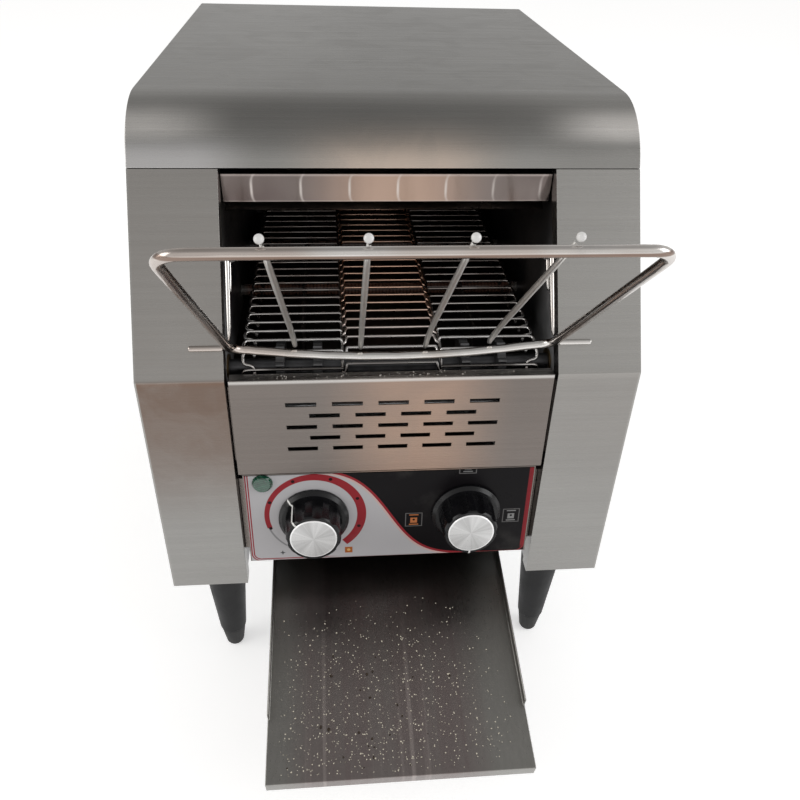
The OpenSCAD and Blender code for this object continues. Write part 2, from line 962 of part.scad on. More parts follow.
module conveyor_belt() {
  strands = [for (i = [0 : link_count - 1]) strand(i)];
  starts = [for (i = 0, s = 0; i < link_count; s = s + len(strands[i]) * 4, i = i + 1) s];
  points = [for (i = [0 : link_count - 1])
    let (t = unit(strands[i][1] - strands[i][0]), n = unit(cross(t, cross([0, 1, 0.37], t))))
      each wire_points(strands[i], wire_r, 4, n)];
  faces = [for (i = [0 : link_count - 1]) each wire_faces(len(strands[i]), 4, starts[i])];
  color("lightgray")
    at_lip()
      polyhedron(points = points, faces = faces);
}

module belt_wheel() {
  difference() {
    linear_extrude(height = wheel_w, center = true)
      union() {
        circle(r = wheel_r - wire_r - 2 * fit);
        for (i = [0 : belt_teeth - 1])
          rotate((i + 0.5) * 360 / belt_teeth)
            translate([wheel_r - 4, -1.4])
              square([5, 2.8]);
      }
    cylinder(d = shaft_d + 2 * fit, h = 2 * wheel_w, center = true);
  }
}

module wheels_at(y) {
  at_lip()
    both_sides()
      for (x = wheel_x)
        translate([x, y, shaft_z])
          rotate([0, 90, 0])
            belt_wheel();
}

module drive_wheels() {
  color("darkgray")
    wheels_at(rear_y);
}

module idler_wheels() {
  color("darkgray")
    wheels_at(front_y);
}

module drive_shaft() {
  color("gainsboro")
    at_lip()
      translate([0, rear_y, shaft_z])
        bar_x(-wall_out - bush_l, chain_x + 4, shaft_d);
}

module idler_shaft() {
  color("gainsboro")
    at_lip()
      translate([0, front_y, shaft_z])
        bar_x(-wall_out - bush_l, wall_out + bush_l, shaft_d);
}

// flanged bushes in the inner walls
module shaft_bushes() {
  color("goldenrod")
    at_lip()
      both_sides()
        for (y = [front_y, rear_y])
          translate([0, y, shaft_z])
            difference() {
              union() {
                bar_x(wall_x - 1, wall_out + 3, bush_d);
                bar_x(wall_out, wall_out + 3, bush_flange);
              }
              bar_x(wall_x - 2, wall_out + 4, shaft_d + 2 * fit);
            }
}

module chain_wheel(bore) {
  difference() {
    cylinder(r = chain_r + 1.2, h = sprocket_t, center = true);
    for (i = [0 : chain_teeth - 1])
      rotate(i * 360 / chain_teeth)
        for (c = [[chain_r, 0], [free_roller_r, free_roller_side]])
          translate([c[0], 0, 0])
            cylinder(d = roller_d + 6 * fit + 2 * c[1], h = 2 * sprocket_t, center = true, $fn = 24);
    cylinder(d = bore + 2 * fit, h = 2 * sprocket_t, center = true);
  }
}

// stands a flat drive part in the chain's plane, turned so that the chain runs along its x
module in_chain_plane(y, z) {
  at_lip()
    translate([chain_x, y, z])
      rotate([90, 0, 90])
        rotate(chain_dir + 90)
          children();
}

module shaft_sprocket() {
  color("slategray")
    in_chain_plane(rear_y, shaft_z)
      chain_wheel(shaft_d);
}

module motor_sprocket() {
  color("slategray")
    in_chain_plane(motor_y, motor_z)
      chain_wheel(motor_shaft_d);
}

module chain_band(r) {
  circle(r = r);
  translate([0, -chain_spans * chain_pitch])
    circle(r = r);
  translate([-r, -chain_spans * chain_pitch])
    square([2 * r, chain_spans * chain_pitch]);
}

module drive_chain() {
  span = chain_spans * chain_pitch;
  color("dimgray")
    in_chain_plane(rear_y, shaft_z)
      union() {
        for (s = [-1, 1])
          translate([0, 0, s * (chain_in + plate_t) / 2])
            linear_extrude(height = plate_t, center = true)
              difference() {
                chain_band(chain_r + plate_h / 2);
                chain_band(chain_r - plate_h / 2);
              }
        for (x = [-chain_r, chain_r], i = [1 : chain_spans - 1])
          translate([x, -i * chain_pitch, 0])
            chain_roller();
        for (i = [0 : floor(chain_teeth / 2)])
          rotate(i * 360 / chain_teeth)
            translate([chain_r, 0, 0])
              chain_roller();
        for (i = [0 : floor(chain_teeth / 2)])
          translate([0, -span, 0])
            rotate(-i * 360 / chain_teeth)
              translate([chain_r, 0, 0])
                chain_roller();
      }
}

module chain_roller() {
  cylinder(d = roller_d, h = chain_in + plate_t, center = true, $fn = 24);
}

module motor_bracket() {
  color("darkgray")
    at_lip()
      difference() {
        block([wall_out, wall_out + bracket_t], [motor_y - motor_d / 2 - 6, motor_y + motor_d / 2 + 6],
          [motor_z - motor_d / 2 - 6, motor_z + motor_d / 2 + 6]);
        translate([0, motor_y, motor_z])
          bar_x(wall_out - eps, wall_out + bracket_t + eps, motor_d / 2);
      }
}

module gear_motor() {
  color("lightslategray")
    at_lip()
      translate([wall_out + bracket_t, motor_y, motor_z])
        difference() {
          union() {
            bar_x(0, motor_l - 8, motor_d);
            bar_x(0, motor_l, motor_d - 14);
            for (a = [45, 225])
              rotate([a, 0, 0])
                block([0, 3], [motor_d / 2 - 4, motor_d / 2 + 8], [-5, 5]);
          }
          bar_x(motor_l - 14, motor_l + eps, motor_shaft_d + 2 * fit);
        }
}

module motor_shaft() {
  x0 = wall_out + bracket_t + motor_l;
  color("gainsboro")
    at_lip()
      translate([0, motor_y, motor_z])
        bar_x(x0 - 14 + gap, chain_x + 4, motor_shaft_d);
}

module terminal_block() {
  color("ivory")
    at_lip()
      difference() {
        block([-wall_out - terminal_w, -wall_out],
          [case_d - terminal_back - terminal_l, case_d - terminal_back],
          [gland_z - terminal_h / 2, gland_z + terminal_h / 2]);
        for (i = [-1 : 1])
          translate([-wall_out - terminal_w, case_d - terminal_back - terminal_l / 2 + terminal_step * i,
            gland_z])
            rotate([0, 90, 0])
              cylinder(d = 6, h = 16, center = true);
      }
}

// ------------------------------------------------------------------ chute and tray

// curved plate that turns the falling toast forward
module return_chute() {
  c = [bend_y - chute_r * sin(chute_slope), bend_z];
  color("gainsboro")
    at_lip()
      across(gap - wall_x, wall_x - gap)
        union() {
          folded([[chute_low_y, chute_low_z], [bend_y, bend_z - chute_r * cos(chute_slope)]], sheet);
          folded([[chute_y, bend_z], [chute_y, chute_top], [chute_y + 8, chute_top + 6]], sheet);
          intersection() {
            difference() {
              translate(c)
                circle(r = chute_r + sheet / 2, $fn = 96);
              translate(c)
                circle(r = chute_r - sheet / 2, $fn = 96);
            }
            polygon([c, c + 2 * chute_r * [sin(chute_slope), -cos(chute_slope)],
              c + 2 * chute_r * [1, -1], c + [2 * chute_r, 0]]);
          }
        }
}

// the tray's own frame: y up its slope from the front edge, z square to its floor
module on_tray() {
  at_lip()
    translate([0, -tray_out, tray_z])
      rotate([tray_slope, 0, 0])
        children();
}

module toast_tray() {
  side_l = tray_l * 0.88;
  color("lightgray")
    on_tray()
      union() {
        across(-tray_w / 2, tray_w / 2)
          folded([[tray_l, -sheet / 2], [sheet / 2, -sheet / 2], [sheet / 2, -tray_lip],
            [6, -tray_lip]], sheet);
        both_sides()
          block([tray_w / 2 - sheet, tray_w / 2], [tray_l - side_l, tray_l], [-sheet, tray_side]);
      }
}

// angle rail on the inner wall, with a ledge under the tray's edge
module tray_rail() {
  y0 = (tray_out - rail_start) / cos(tray_slope);
  y1 = tray_l + rail_past;
  on_tray()
    across(tray_w / 2 - rail_lap, wall_x)
      translate([y0, -sheet - gap - rail_t])
        square([y1 - y0, rail_t]);
  on_tray()
    across(wall_x - rail_t, wall_x)
      translate([y0, -sheet - gap - rail_t])
        square([y1 - y0, rail_h]);
}

module tray_rail_right() {
  color("darkgray")
    tray_rail();
}

module tray_rail_left() {
  color("darkgray")
    mirror([1, 0, 0])
      tray_rail();
}

// ------------------------------------------------------------------ loading rack

// the rack's own plane: x across, s up its slope from the rod, n above it
function on_rack(x, s, n) =
  [x, rod_y - s * cos(rack_slope) + n * sin(rack_slope), rod_z + s * sin(rack_slope) + n * cos(rack_slope)];
rack_up = [0, sin(rack_slope), cos(rack_slope)];

// a quarter bend about a centre in that plane
function bend(x, s, r, a0, a1, n) =
  [for (i = [0 : n]) let (a = a0 + (a1 - a0) * i / n) on_rack(x + r * cos(a), s + r * sin(a), 0)];

// the lower bar sags towards its middle
function low_bar(x, lift) =
  on_rack(x, -frame_drop, lift) - [0, 0, rack_bow * (1 - pow(x / low_corner_x, 2))];

module rack_frame() {
  xt = rack_top_w / 2 - corner_r;
  xl = low_corner_x;
  st = rack_l - corner_r;
  sl = low_corner_s;
  color("gainsboro")
    at_lip()
      closed_wire(concat(bend(xt, st, corner_r, 0, 90, 6), bend(-xt, st, corner_r, 90, 180, 6),
        bend(-xl, sl, low_corner_r, 180, 270, 6), [for (i = [-3 : 3]) low_bar(i * xl / 4, 0)],
        bend(xl, sl, low_corner_r, 270, 360, 6)),
        frame_d / 2, 8, rack_up);
}

module rack_ribs() {
  color("gainsboro")
    at_lip()
      for (i = [-1.5 : 1 : 1.5])
        wire([low_bar(i * rib_step, rib_lift), on_rack(i * rib_step, 6, rib_lift),
          on_rack(i * rib_pitch, rack_l + tip_out - tip_d / 2 - gap, rib_lift)], rib_d / 2, 8, rack_up);
}

module rack_tips() {
  color("whitesmoke")
    at_lip()
      for (i = [-1.5 : 1 : 1.5])
        translate(on_rack(i * rib_pitch, rack_l + tip_out, rib_lift))
          sphere(d = tip_d, $fn = 32);
}

// a spike outside each of the frame's lower corners
module rack_rod() {
  color("gainsboro")
    at_lip()
      both_sides()
        translate([0, rod_y, rod_z])
          bar_x(low_corner_x + cross_x + cross_gap, rod_l / 2, rod_d);
}

// a hook's plane: s up along the column's slope, n in front of it
function on_column(s, n) =
  [hook_x, rod_y + s * sin(lean) - n * cos(lean), rod_z + s * cos(lean) + n * sin(lean)];

// open hairpins that hang over the studs
module rack_hooks() {
  path = concat([on_column(frame_d / 2 + 2 * gap, 0)],
    [for (i = [0 : 6]) on_column(hook_l + hook_r * sin(30 * i), -hook_r + hook_r * cos(30 * i))],
    [on_column(hook_l - hook_tail, -2 * hook_r)]);
  color("gainsboro")
    at_lip()
      both_sides()
        wire(path, hook_d / 2, 8, [1, 0, 0]);
}

module rack_studs() {
  c = on_column(hook_l, -hook_r);
  color("darkgray")
    at_lip()
      both_sides()
        translate([0, c[1], c[2]])
          bar_x(hook_x - hook_d - 1, mouth_x, 2 * (hook_r - hook_d / 2 - gap));
}

// ------------------------------------------------------------------ screws and legs

module screw() {
  union() {
    cylinder(d1 = screw_head_d, d2 = screw_head_d - 2, h = screw_head_h);
    translate([0, 0, -2 * sheet])
      cylinder(d = screw_shank_d, h = 2 * sheet);
  }
}

module case_screws() {
  color("gainsboro")
    at_lip() {
      both_sides()
        side_screws()
          rotate([0, 90, 0])
            screw();
      back_screws()
        rotate([-90, 0, 0])
          screw();
    }
}

module leg_at(sx, back) {
  at_lip()
    translate([sx * leg_x, back ? case_d - leg_rear : -leg_front, 0])
      children();
}

module leg() {
  color("black")
    difference() {
      union() {
        translate([0, 0, foot_h])
          cylinder(d1 = ankle_d, d2 = leg_d, h = body_z - foot_h - 4);
        translate([0, 0, body_z - 4])
          cylinder(d = leg_d, h = 4);
      }
      translate([0, 0, foot_h - eps])
        cylinder(d = screw_d + 2 * fit, h = 36);
    }
}

module foot() {
  color("dimgray")
    union() {
      translate([0, 0, 2])
        cylinder(d1 = sole_d, d2 = ankle_d - 1, h = foot_h - gap - 2);
      cylinder(d1 = sole_d - 2, d2 = sole_d, h = 2);
      cylinder(d = screw_d, h = foot_h + 32);
    }
}

module leg_front_left() { leg_at(-1, false) leg(); }
module leg_front_right() { leg_at(1, false) leg(); }
module leg_rear_left() { leg_at(-1, true) leg(); }
module leg_rear_right() { leg_at(1, true) leg(); }
module foot_front_left() { leg_at(-1, false) foot(); }
module foot_front_right() { leg_at(1, false) foot(); }
module foot_rear_left() { leg_at(-1, true) foot(); }
module foot_rear_right() { leg_at(1, true) foot(); }

hood();
side_cover_left();
side_cover_right();
inner_wall_left();
inner_wall_right();
base_plate();
back_panel();
cable_gland();
header_strip();
vent_panel();
control_panel();
control_overlay();
power_lamp();
control_shield();
speed_controller();
selector_switch();
speed_spindle();
speed_knob();
speed_knob_cap();
selector_spindle();
selector_knob();
selector_knob_cap();
upper_heaters();
lower_heaters();
heater_end_caps();
upper_reflector();
lower_reflector();
conveyor_belt();
shaft_bushes();
drive_shaft();
drive_wheels();
idler_shaft();
idler_wheels();
shaft_sprocket();
gear_motor();
motor_bracket();
motor_shaft();
motor_sprocket();
drive_chain();
return_chute();
tray_rail_left();
tray_rail_right();
toast_tray();
rack_frame();
rack_ribs();
rack_rod();
rack_hooks();
rack_tips();
rack_studs();
terminal_block();
case_screws();
leg_front_left();
leg_front_right();
leg_rear_left();
leg_rear_right();
foot_front_left();
foot_front_right();
foot_rear_left();
foot_rear_right();
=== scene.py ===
"""Looks of a counter-top conveyor toaster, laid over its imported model."""

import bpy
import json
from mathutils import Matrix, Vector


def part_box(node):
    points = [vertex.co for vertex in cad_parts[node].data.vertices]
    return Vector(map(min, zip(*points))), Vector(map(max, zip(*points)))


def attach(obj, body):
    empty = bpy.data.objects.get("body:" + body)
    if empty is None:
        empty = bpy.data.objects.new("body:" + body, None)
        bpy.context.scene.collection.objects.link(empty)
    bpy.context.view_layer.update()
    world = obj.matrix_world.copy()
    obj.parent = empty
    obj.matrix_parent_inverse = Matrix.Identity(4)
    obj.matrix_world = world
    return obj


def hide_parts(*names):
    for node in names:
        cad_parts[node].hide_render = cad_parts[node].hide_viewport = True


bl_info = {
    "name": "Conveyor Toaster",
    "version": (1, 0, 0),
    "blender": (4, 5, 0),
    "location": "3D View > Sidebar > Toaster",
    "description": "Dresses the packed conveyor toaster and sets up its studio",
    "category": "Object",
}

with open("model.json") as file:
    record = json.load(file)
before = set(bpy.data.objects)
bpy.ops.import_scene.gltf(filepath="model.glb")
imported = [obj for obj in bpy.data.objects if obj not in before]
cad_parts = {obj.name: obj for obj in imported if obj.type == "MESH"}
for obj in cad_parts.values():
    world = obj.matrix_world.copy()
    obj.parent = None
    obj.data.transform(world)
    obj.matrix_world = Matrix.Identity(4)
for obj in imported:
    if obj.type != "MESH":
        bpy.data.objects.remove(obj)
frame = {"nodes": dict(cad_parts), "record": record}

import json
import math
import random

import bmesh
import bpy
from bpy.props import FloatProperty, FloatVectorProperty, IntProperty, PointerProperty
from mathutils import Matrix, Vector

MM = 0.001
LIP_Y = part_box("hood")[0][1] / MM
PANEL_FOOT = (LIP_Y - 66.6, 117.0)
PANEL_LEAN = 4.15
KNOB_X, KNOB_UP = 49.0, 35.9
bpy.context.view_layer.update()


# settings

def colour(name, default, description):
    return FloatVectorProperty(name=name, description=description, default=default,
                               subtype="COLOR", size=3, min=0, max=1)


def length(name, default, description):
    return FloatProperty(name=name, description=description, default=default, min=0,
                         subtype="DISTANCE", unit="LENGTH", precision=5)


class CaseSettings(bpy.types.PropertyGroup):
    steel: colour("Steel", (0.355, 0.348, 0.335), "Colour of the brushed case sheet")
    # also the colour of the painted reflection streaks on the header strip
    bright: colour("Bright Steel", (0.62, 0.57, 0.54), "Colour of the polished sheet")
    tarnish: colour("Tarnish", (0.18, 0.118, 0.088), "Colour of the heat-stained sheet")
    edge: length("Edge", 0.0004, "Rounding of folded sheet edges")
    roughness: FloatProperty(name="Roughness", description="Roughness of the brushed sheet",
                             default=0.30, min=0, max=1, subtype="FACTOR")


class WireSettings(bpy.types.PropertyGroup):
    chrome: colour("Chrome", (0.66, 0.64, 0.62), "Colour of the rack's plating")
    belt: colour("Belt Wire", (0.74, 0.73, 0.72), "Colour of clean belt wire")
    # also used for painted shade where the belt runs low
    smoked_and_shaded: colour("Smoked Wire", (0.26, 0.22, 0.20), "Colour of belt wire dulled by smoke")
    coppery: colour("Coppery Wire", (0.92, 0.60, 0.45), "Colour of belt wire tinted by heat")
    wire: length("Wire", 0.00095, "Radius of the belt's wire")


class ControlSettings(bpy.types.PropertyGroup):
    silver: colour("Silver", (0.50, 0.49, 0.505), "Silver field of the printed film")
    dark: colour("Dark", (0.006, 0.005, 0.006), "Dark field of the printed film")
    red: colour("Red", (0.30, 0.026, 0.034), "Red lines of the printed film")
    cream: colour("Cream", (0.62, 0.45, 0.42), "Light edge of the curved line")
    knob: colour("Knob", (0.005, 0.005, 0.006), "Colour of the knobs")
    lamp: colour("Lamp", (0.010, 0.075, 0.042), "Colour of the lamp's lens")


class TraySettings(bpy.types.PropertyGroup):
    sheet: colour("Sheet", (0.285, 0.278, 0.262), "Colour of the tray's sheet")
    worn: colour("Worn", (0.228, 0.192, 0.187), "Colour of the sheet where toast slides")
    crumb: colour("Crumb", (0.66, 0.61, 0.50), "Colour of the crumbs")
    crumbs: IntProperty(name="Crumbs", description="Crumbs lying on the tray", default=950, min=0)
    seed: IntProperty(name="Seed", description="Layout of the crumbs", default=7, min=0)


class StudioSettings(bpy.types.PropertyGroup):
    lens: FloatProperty(name="Lens", description="Focal length of the camera", default=34.44,
                        min=1, subtype="DISTANCE_CAMERA", unit="CAMERA")
    key: FloatProperty(name="Key Light", description="Power of the left lamp", default=16.0,
                       min=0, subtype="POWER", unit="POWER")
    fill: FloatProperty(name="Fill Light", description="Power of the right lamp", default=16.0,
                        min=0, subtype="POWER", unit="POWER")
    floor: colour("Floor", (0.86, 0.86, 0.86), "Colour of the floor")


GROUPS = {"toaster_case": CaseSettings, "toaster_wire": WireSettings,
          "toaster_controls": ControlSettings, "toaster_tray": TraySettings,
          "toaster_studio": StudioSettings}


# materials

def node(tree, kind, feeds=None, **settings):
    """A node with its settings, and its sockets set or linked."""
    made = tree.nodes.new(kind)
    for key, value in settings.items():
        setattr(made, key, value)
    for key, value in (feeds or {}).items():
        if isinstance(value, Reading):
            value = value.socket
        if isinstance(value, bpy.types.NodeSocket):
            tree.links.new(value, made.inputs[key])
        else:
            made.inputs[key].default_value = value
    return made


class Reading:
    """A number on the surface, which takes part in sums."""

    def __init__(self, tree, socket):
        self.tree = tree
        self.socket = socket

    def op(self, operation, *others, swap=False):
        feeds = [self, *others]
        if swap:
            feeds.reverse()
        made = node(self.tree, "ShaderNodeMath", dict(enumerate(feeds)), operation=operation)
        return Reading(self.tree, made.outputs[0])

    def __add__(self, other):
        return self.op("ADD", other)

    def __sub__(self, other):
        return self.op("SUBTRACT", other)

    def __rsub__(self, other):
        return self.op("SUBTRACT", other, swap=True)

    def __mul__(self, other):
        return self.op("MULTIPLY", other)

    def __truediv__(self, other):
        return self.op("DIVIDE", other)

    def __abs__(self):
        return self.op("ABSOLUTE")

    def low(self, other):
        return self.op("MINIMUM", other)

    def high(self, other):
        return self.op("MAXIMUM", other)

    def step(self, low, high, to_low=0.0, to_high=1.0):
        """Goes smoothly from to_low to to_high between low and high."""
        made = node(self.tree, "ShaderNodeMapRange",
                    {0: self, 1: low, 2: high, 3: to_low, 4: to_high},
                    interpolation_type="SMOOTHSTEP")
        return Reading(self.tree, made.outputs[0])

    def fall(self, low, high):
        """Goes smoothly from 1 to 0 between low and high."""
        return self.step(low, high, 1.0, 0.0)

    def mix(self, a, b):
        """Colour a where this is 0, b where it is 1."""
        feeds = {0: self, 6: rgba(a), 7: rgba(b)}
        return node(self.tree, "ShaderNodeMix", feeds, data_type="RGBA").outputs[2]


def rgba(value):
    return value if isinstance(value, bpy.types.NodeSocket) else (*tuple(value)[:3], 1.0)


class Finish:
    """A material under construction."""

    def __init__(self, name):
        self.material = bpy.data.materials.new(name)
        self.material.use_nodes = True
        self.tree = self.material.node_tree
        self.tree.nodes.clear()

    def spot(self, scale=1000.0, turn=(0, 0, 0), centre=(0, 0, 0)):
        """Object coordinates, in millimetres unless scaled otherwise."""
        coordinates = node(self.tree, "ShaderNodeTexCoord").outputs["Object"]
        scale = (scale, scale, scale) if isinstance(scale, (int, float)) else scale
        stretched = Vector([a * s for a, s in zip(centre, scale)])
        stretched.rotate(Matrix.Rotation(turn[0], 3, "X").to_euler())
        mapping = node(self.tree, "ShaderNodeMapping",
                       {"Vector": coordinates, "Scale": scale, "Rotation": turn,
                        "Location": -stretched})
        return mapping.outputs[0]

    def xyz(self):
        """The three object coordinates, in millimetres."""
        return self.axes(self.spot())

    def axes(self, vector):
        parts = node(self.tree, "ShaderNodeSeparateXYZ", {0: vector}).outputs
        return [Reading(self.tree, p) for p in parts]

    def noise(self, vector, scale=1.0, detail=3.0, rough=0.5, distortion=0.0):
        made = node(self.tree, "ShaderNodeTexNoise",
                    {"Vector": vector, "Scale": scale, "Detail": detail, "Roughness": rough,
                     "Distortion": distortion})
        return Reading(self.tree, made.outputs[0])

    def cloud(self, *settings):
        """Noise that is alike in all directions, by metre."""
        return self.noise(self.spot(1.0), *settings)

    def cells(self, scale):
        feeds = {"Vector": self.spot(1.0), "Scale": scale}
        made = node(self.tree, "ShaderNodeTexVoronoi", feeds)
        return Reading(self.tree, made.outputs[0])

    def bump(self, height, strength, distance=0.0001):
        feeds = {"Height": height, "Strength": strength, "Distance": distance}
        return node(self.tree, "ShaderNodeBump", feeds).outputs[0]

    def shade(self, **feeds):
        """Closes the material with one shader; names use _ for spaces."""
        named = {k.replace("_", " "): (rgba(v) if "Color" in k else v) for k, v in feeds.items()}
        shader = node(self.tree, "ShaderNodeBsdfPrincipled", named)
        node(self.tree, "ShaderNodeOutputMaterial", {0: shader.outputs[0]})
        return self.material


def brushed(name, tone, grain, roughness=0.3, stain=None, stain_and_glow_at=None, soft=1.0, tint=None):
    """Brushed sheet: fine scratches along one axis, cloudy sheen and faint wipes."""
    f = Finish(name)
    fine = [2200.0, 2200.0, 2200.0]
    fine["XYZ".index(grain)] = 14.0
    streak = [420.0, 420.0, 420.0]
    streak["XYZ".index(grain)] = 3.0
    scratches = f.noise(f.spot(tuple(fine)), 1.0, 4.0, 0.65)
    bands = f.noise(f.spot(tuple(streak)), 1.0, 3.0, 0.6)
    clouds = f.cloud(7.0, 2.0, 0.5)
    smudges = f.cloud(30.0, 5.0, 0.6, 1.0)
    spots = f.cells(210.0).fall(0.0, 0.10) * smudges.step(0.60, 0.75)
    dull = [c * 0.93 for c in tone]
    pale = [min(1, c * 1.05) for c in tone]
    mixed = (bands.step(0.3, 0.7) * 0.45 + clouds.step(0.3, 0.7) * 0.55)
    base = mixed.mix(dull, pale)
    # the stain colour laid over its mask; on the hood and the panels this is a painted warm glow
    if stain is not None:
        base = (stain_and_glow_at(f) * smudges.step(0.30, 0.62, 0.8, 1.0)).mix(base, stain)
    if tint is not None:
        base = tint(f, base)
    base = (spots * 0.35).mix(base, [c * 0.45 for c in tone])
    rough = (scratches.step(0.25, 0.75, -0.07, 0.08) + smudges.step(0.42, 0.70, -0.01, 0.025)
             + roughness)
    height = scratches * 0.6 + bands * 0.4
    return f.shade(Base_Color=base, Metallic=1.0, Roughness=rough,
                   Normal=f.bump(height, 0.06 * soft))


def plain_metal(name, tone, roughness, scale=60.0, wear=0.5, metallic=1.0):
    """Turned, cast or plated metal with cloudy wear and fine pits."""
    f = Finish(name)
    clouds = f.cloud(scale, 5.0, 0.6)
    pits = f.cloud(scale * 22, 2.0, 0.5)
    base = clouds.step(0.3, 0.7).mix([c * (1 - 0.4 * wear) for c in tone], tone)
    rough = clouds.step(0.3, 0.7, 0.12, -0.05) * wear + roughness
    return f.shade(Base_Color=base, Metallic=metallic, Roughness=rough,
                   Normal=f.bump(pits, 0.08))


def spangled(name, tone):
    """Zinc-coated sheet with its crystal pattern."""
    f = Finish(name)
    grain = f.cells(130.0)
    shade = f.cloud(160.0, 1.0)
    base = grain.step(0.2, 0.8).mix([c * 0.85 for c in tone], [min(1, c * 1.15) for c in tone])
    return f.shade(Base_Color=base, Metallic=1.0, Roughness=shade.step(0.3, 0.7, 0.32, 0.5),
                   Normal=f.bump(shade, 0.05))


def moulded(name, tone, roughness, grain=900.0, coat=0.0, sheen=0.08, gloss=0.5):
    """Moulded plastic or glaze with a fine skin and some dust."""
    f = Finish(name)
    skin = f.cloud(grain, 2.0, 0.5)
    dust = f.cloud(70.0, 6.0, 0.7)
    pale = [min(1, c + sheen) for c in tone]
    base = dust.step(0.52, 0.80, 0.0, 0.35).mix(tone, pale)
    rough = dust.step(0.4, 0.7, 0.0, 0.12) + roughness
    return f.shade(Base_Color=base, Roughness=rough, Coat_Weight=coat, Coat_Roughness=0.12,
                   Specular_IOR_Level=gloss,
                   Normal=f.bump(skin, 0.12))


def soot_black(name):
    """Blackened inner sheet with a brown haze, bright painted glints, and painted light that makes
    it paler towards the front and low down.
    """
    f = Finish(name)
    haze = f.cloud(22.0, 5.0, 0.6)
    painted_glints = f.cells(330.0).fall(0.0, 0.11)
    some = f.cloud(90.0, 2.0).step(0.56, 0.66)
    x, y, z = f.xyz()
    # painted light: the wall made paler towards the front of the mouth and low down, where light
    # would reach it
    front = (y - LIP_Y).fall(-62, 10) * z.step(345, 290)
    base = haze.step(0.35, 0.75).mix((0.009, 0.009, 0.010), (0.030, 0.026, 0.024))
    base = (front * haze.step(0.3, 0.6, 0.5, 1.0)).mix(base, (0.52, 0.52, 0.53))
    # painted glints: bright dots standing in for highlights on the wall
    base = (painted_glints * some).mix(base, (0.75, 0.74, 0.72))
    return f.shade(Base_Color=base, Metallic=0.3, Roughness=haze.step(0.3, 0.7, 0.28, 0.48),
                   Normal=f.bump(haze, 0.06, 0.001))


# pieces

def paint(name, material):
    """Gives a node of the model its material."""
    for place in frame["nodes"][name].material_slots:
        place.material = material


def made(name, bm, material, body, slot=None, node_name=None):
    """Turns a bmesh into a piece that rides on a body."""
    mesh = bpy.data.meshes.new(name)
    bm.to_mesh(mesh)
    bm.free()
    piece = bpy.data.objects.new(name, mesh)
    bpy.context.scene.collection.objects.link(piece)
    mesh.materials.append(material)
    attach(piece, body)
    if node_name:
        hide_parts(node_name)
    return piece


def body_of(name):
    for body, members in frame["record"]["behaviour"]["bodies"].items():
        if name in members:
            return body
    raise ValueError("no body holds " + name)


def slot_of(name):
    return next(s["material_slot"] for s in frame["record"]["subparts"] if s["node"] == name)


def stand_in(name, bm, material):
    """A piece that replaces a node, on its body."""
    return made(name + "_dressed", bm, material, body_of(name), slot_of(name), name)


def joined(name, flat=0.3):
    """A merged copy of a node's mesh, its faces joined but for its folds."""
    bm = bmesh.new()
    bm.from_mesh(frame["nodes"][name].data)
    bmesh.ops.remove_doubles(bm, verts=bm.verts, dist=2e-6)
    if flat:
        bmesh.ops.dissolve_limit(bm, angle_limit=math.radians(flat), verts=bm.verts,
                                 edges=bm.edges)
    bmesh.ops.recalc_face_normals(bm, faces=bm.faces)
    return bm


def islands(bm):
    """The vertices of each loose part of a mesh, in the same order each run."""
    seen = set()
    for first in bm.verts:
        if first in seen:
            continue
        seen.add(first)
        stack, group = [first], []
        while stack:
            v = stack.pop()
            group.append(v)
            near = [n for n in (e.other_vert(v) for e in v.link_edges) if n not in seen]
            seen.update(near)
            stack += near
        yield group


def crease(bm, degrees):
    """Smooth shading that stops at folds."""
    for face in bm.faces:
        face.smooth = True
    for edge in bm.edges:
        if len(edge.link_faces) == 2:
            edge.smooth = edge.calc_face_angle() < math.radians(degrees)
    return bm


def rounded(name, material, width, segments=2, degrees=30):
    """A node dressed again with rounded edges."""
    bm = crease(joined(name), degrees)
    piece = stand_in(name, bm, material)
    bevel = piece.modifiers.new("Edges", "BEVEL")
    bevel.width = width
    bevel.segments = segments
    bevel.limit_method = "ANGLE"
    bevel.angle_limit = math.radians(degrees)
    return piece


def softened(name, material, grow):
    """A node of faceted wire dressed again as round wire, whose ends draw in a little."""
    bm = joined(name, flat=0)
    bm.normal_update()
    for way, v in [(v.normal.copy(), v) for v in bm.verts]:
        v.co += way * grow
    for face in bm.faces:
        face.smooth = True
    piece = stand_in(name, bm, material)
    surface = piece.modifiers.new("Round", "SUBSURF")
    surface.levels = surface.render_levels = 1
    return piece


def on_panel(x=0.0, up=0.0):
    """Places things on the control panel: x across, y up its face, z out of it."""
    return (Matrix.Translation((0, PANEL_FOOT[0] * MM, PANEL_FOOT[1] * MM))
            @ Matrix.Rotation(math.radians(-PANEL_LEAN), 4, "X")
            @ Matrix.Translation((x * MM, 0, up * MM))
            @ Matrix.Rotation(math.radians(90), 4, "X"))


def on_tray():
    """Places things on the tray: y up its slope, z square to its floor."""
    return (Matrix.Translation((0, (LIP_Y - 188.6) * MM, 63.7 * MM))
            @ Matrix.Rotation(math.radians(11.7), 4, "X"))


class Toaster:
    """What the operators share."""
    bl_options = {"REGISTER", "UNDO"}

    @staticmethod
    def settings(name):
        return getattr(bpy.context.scene, name)


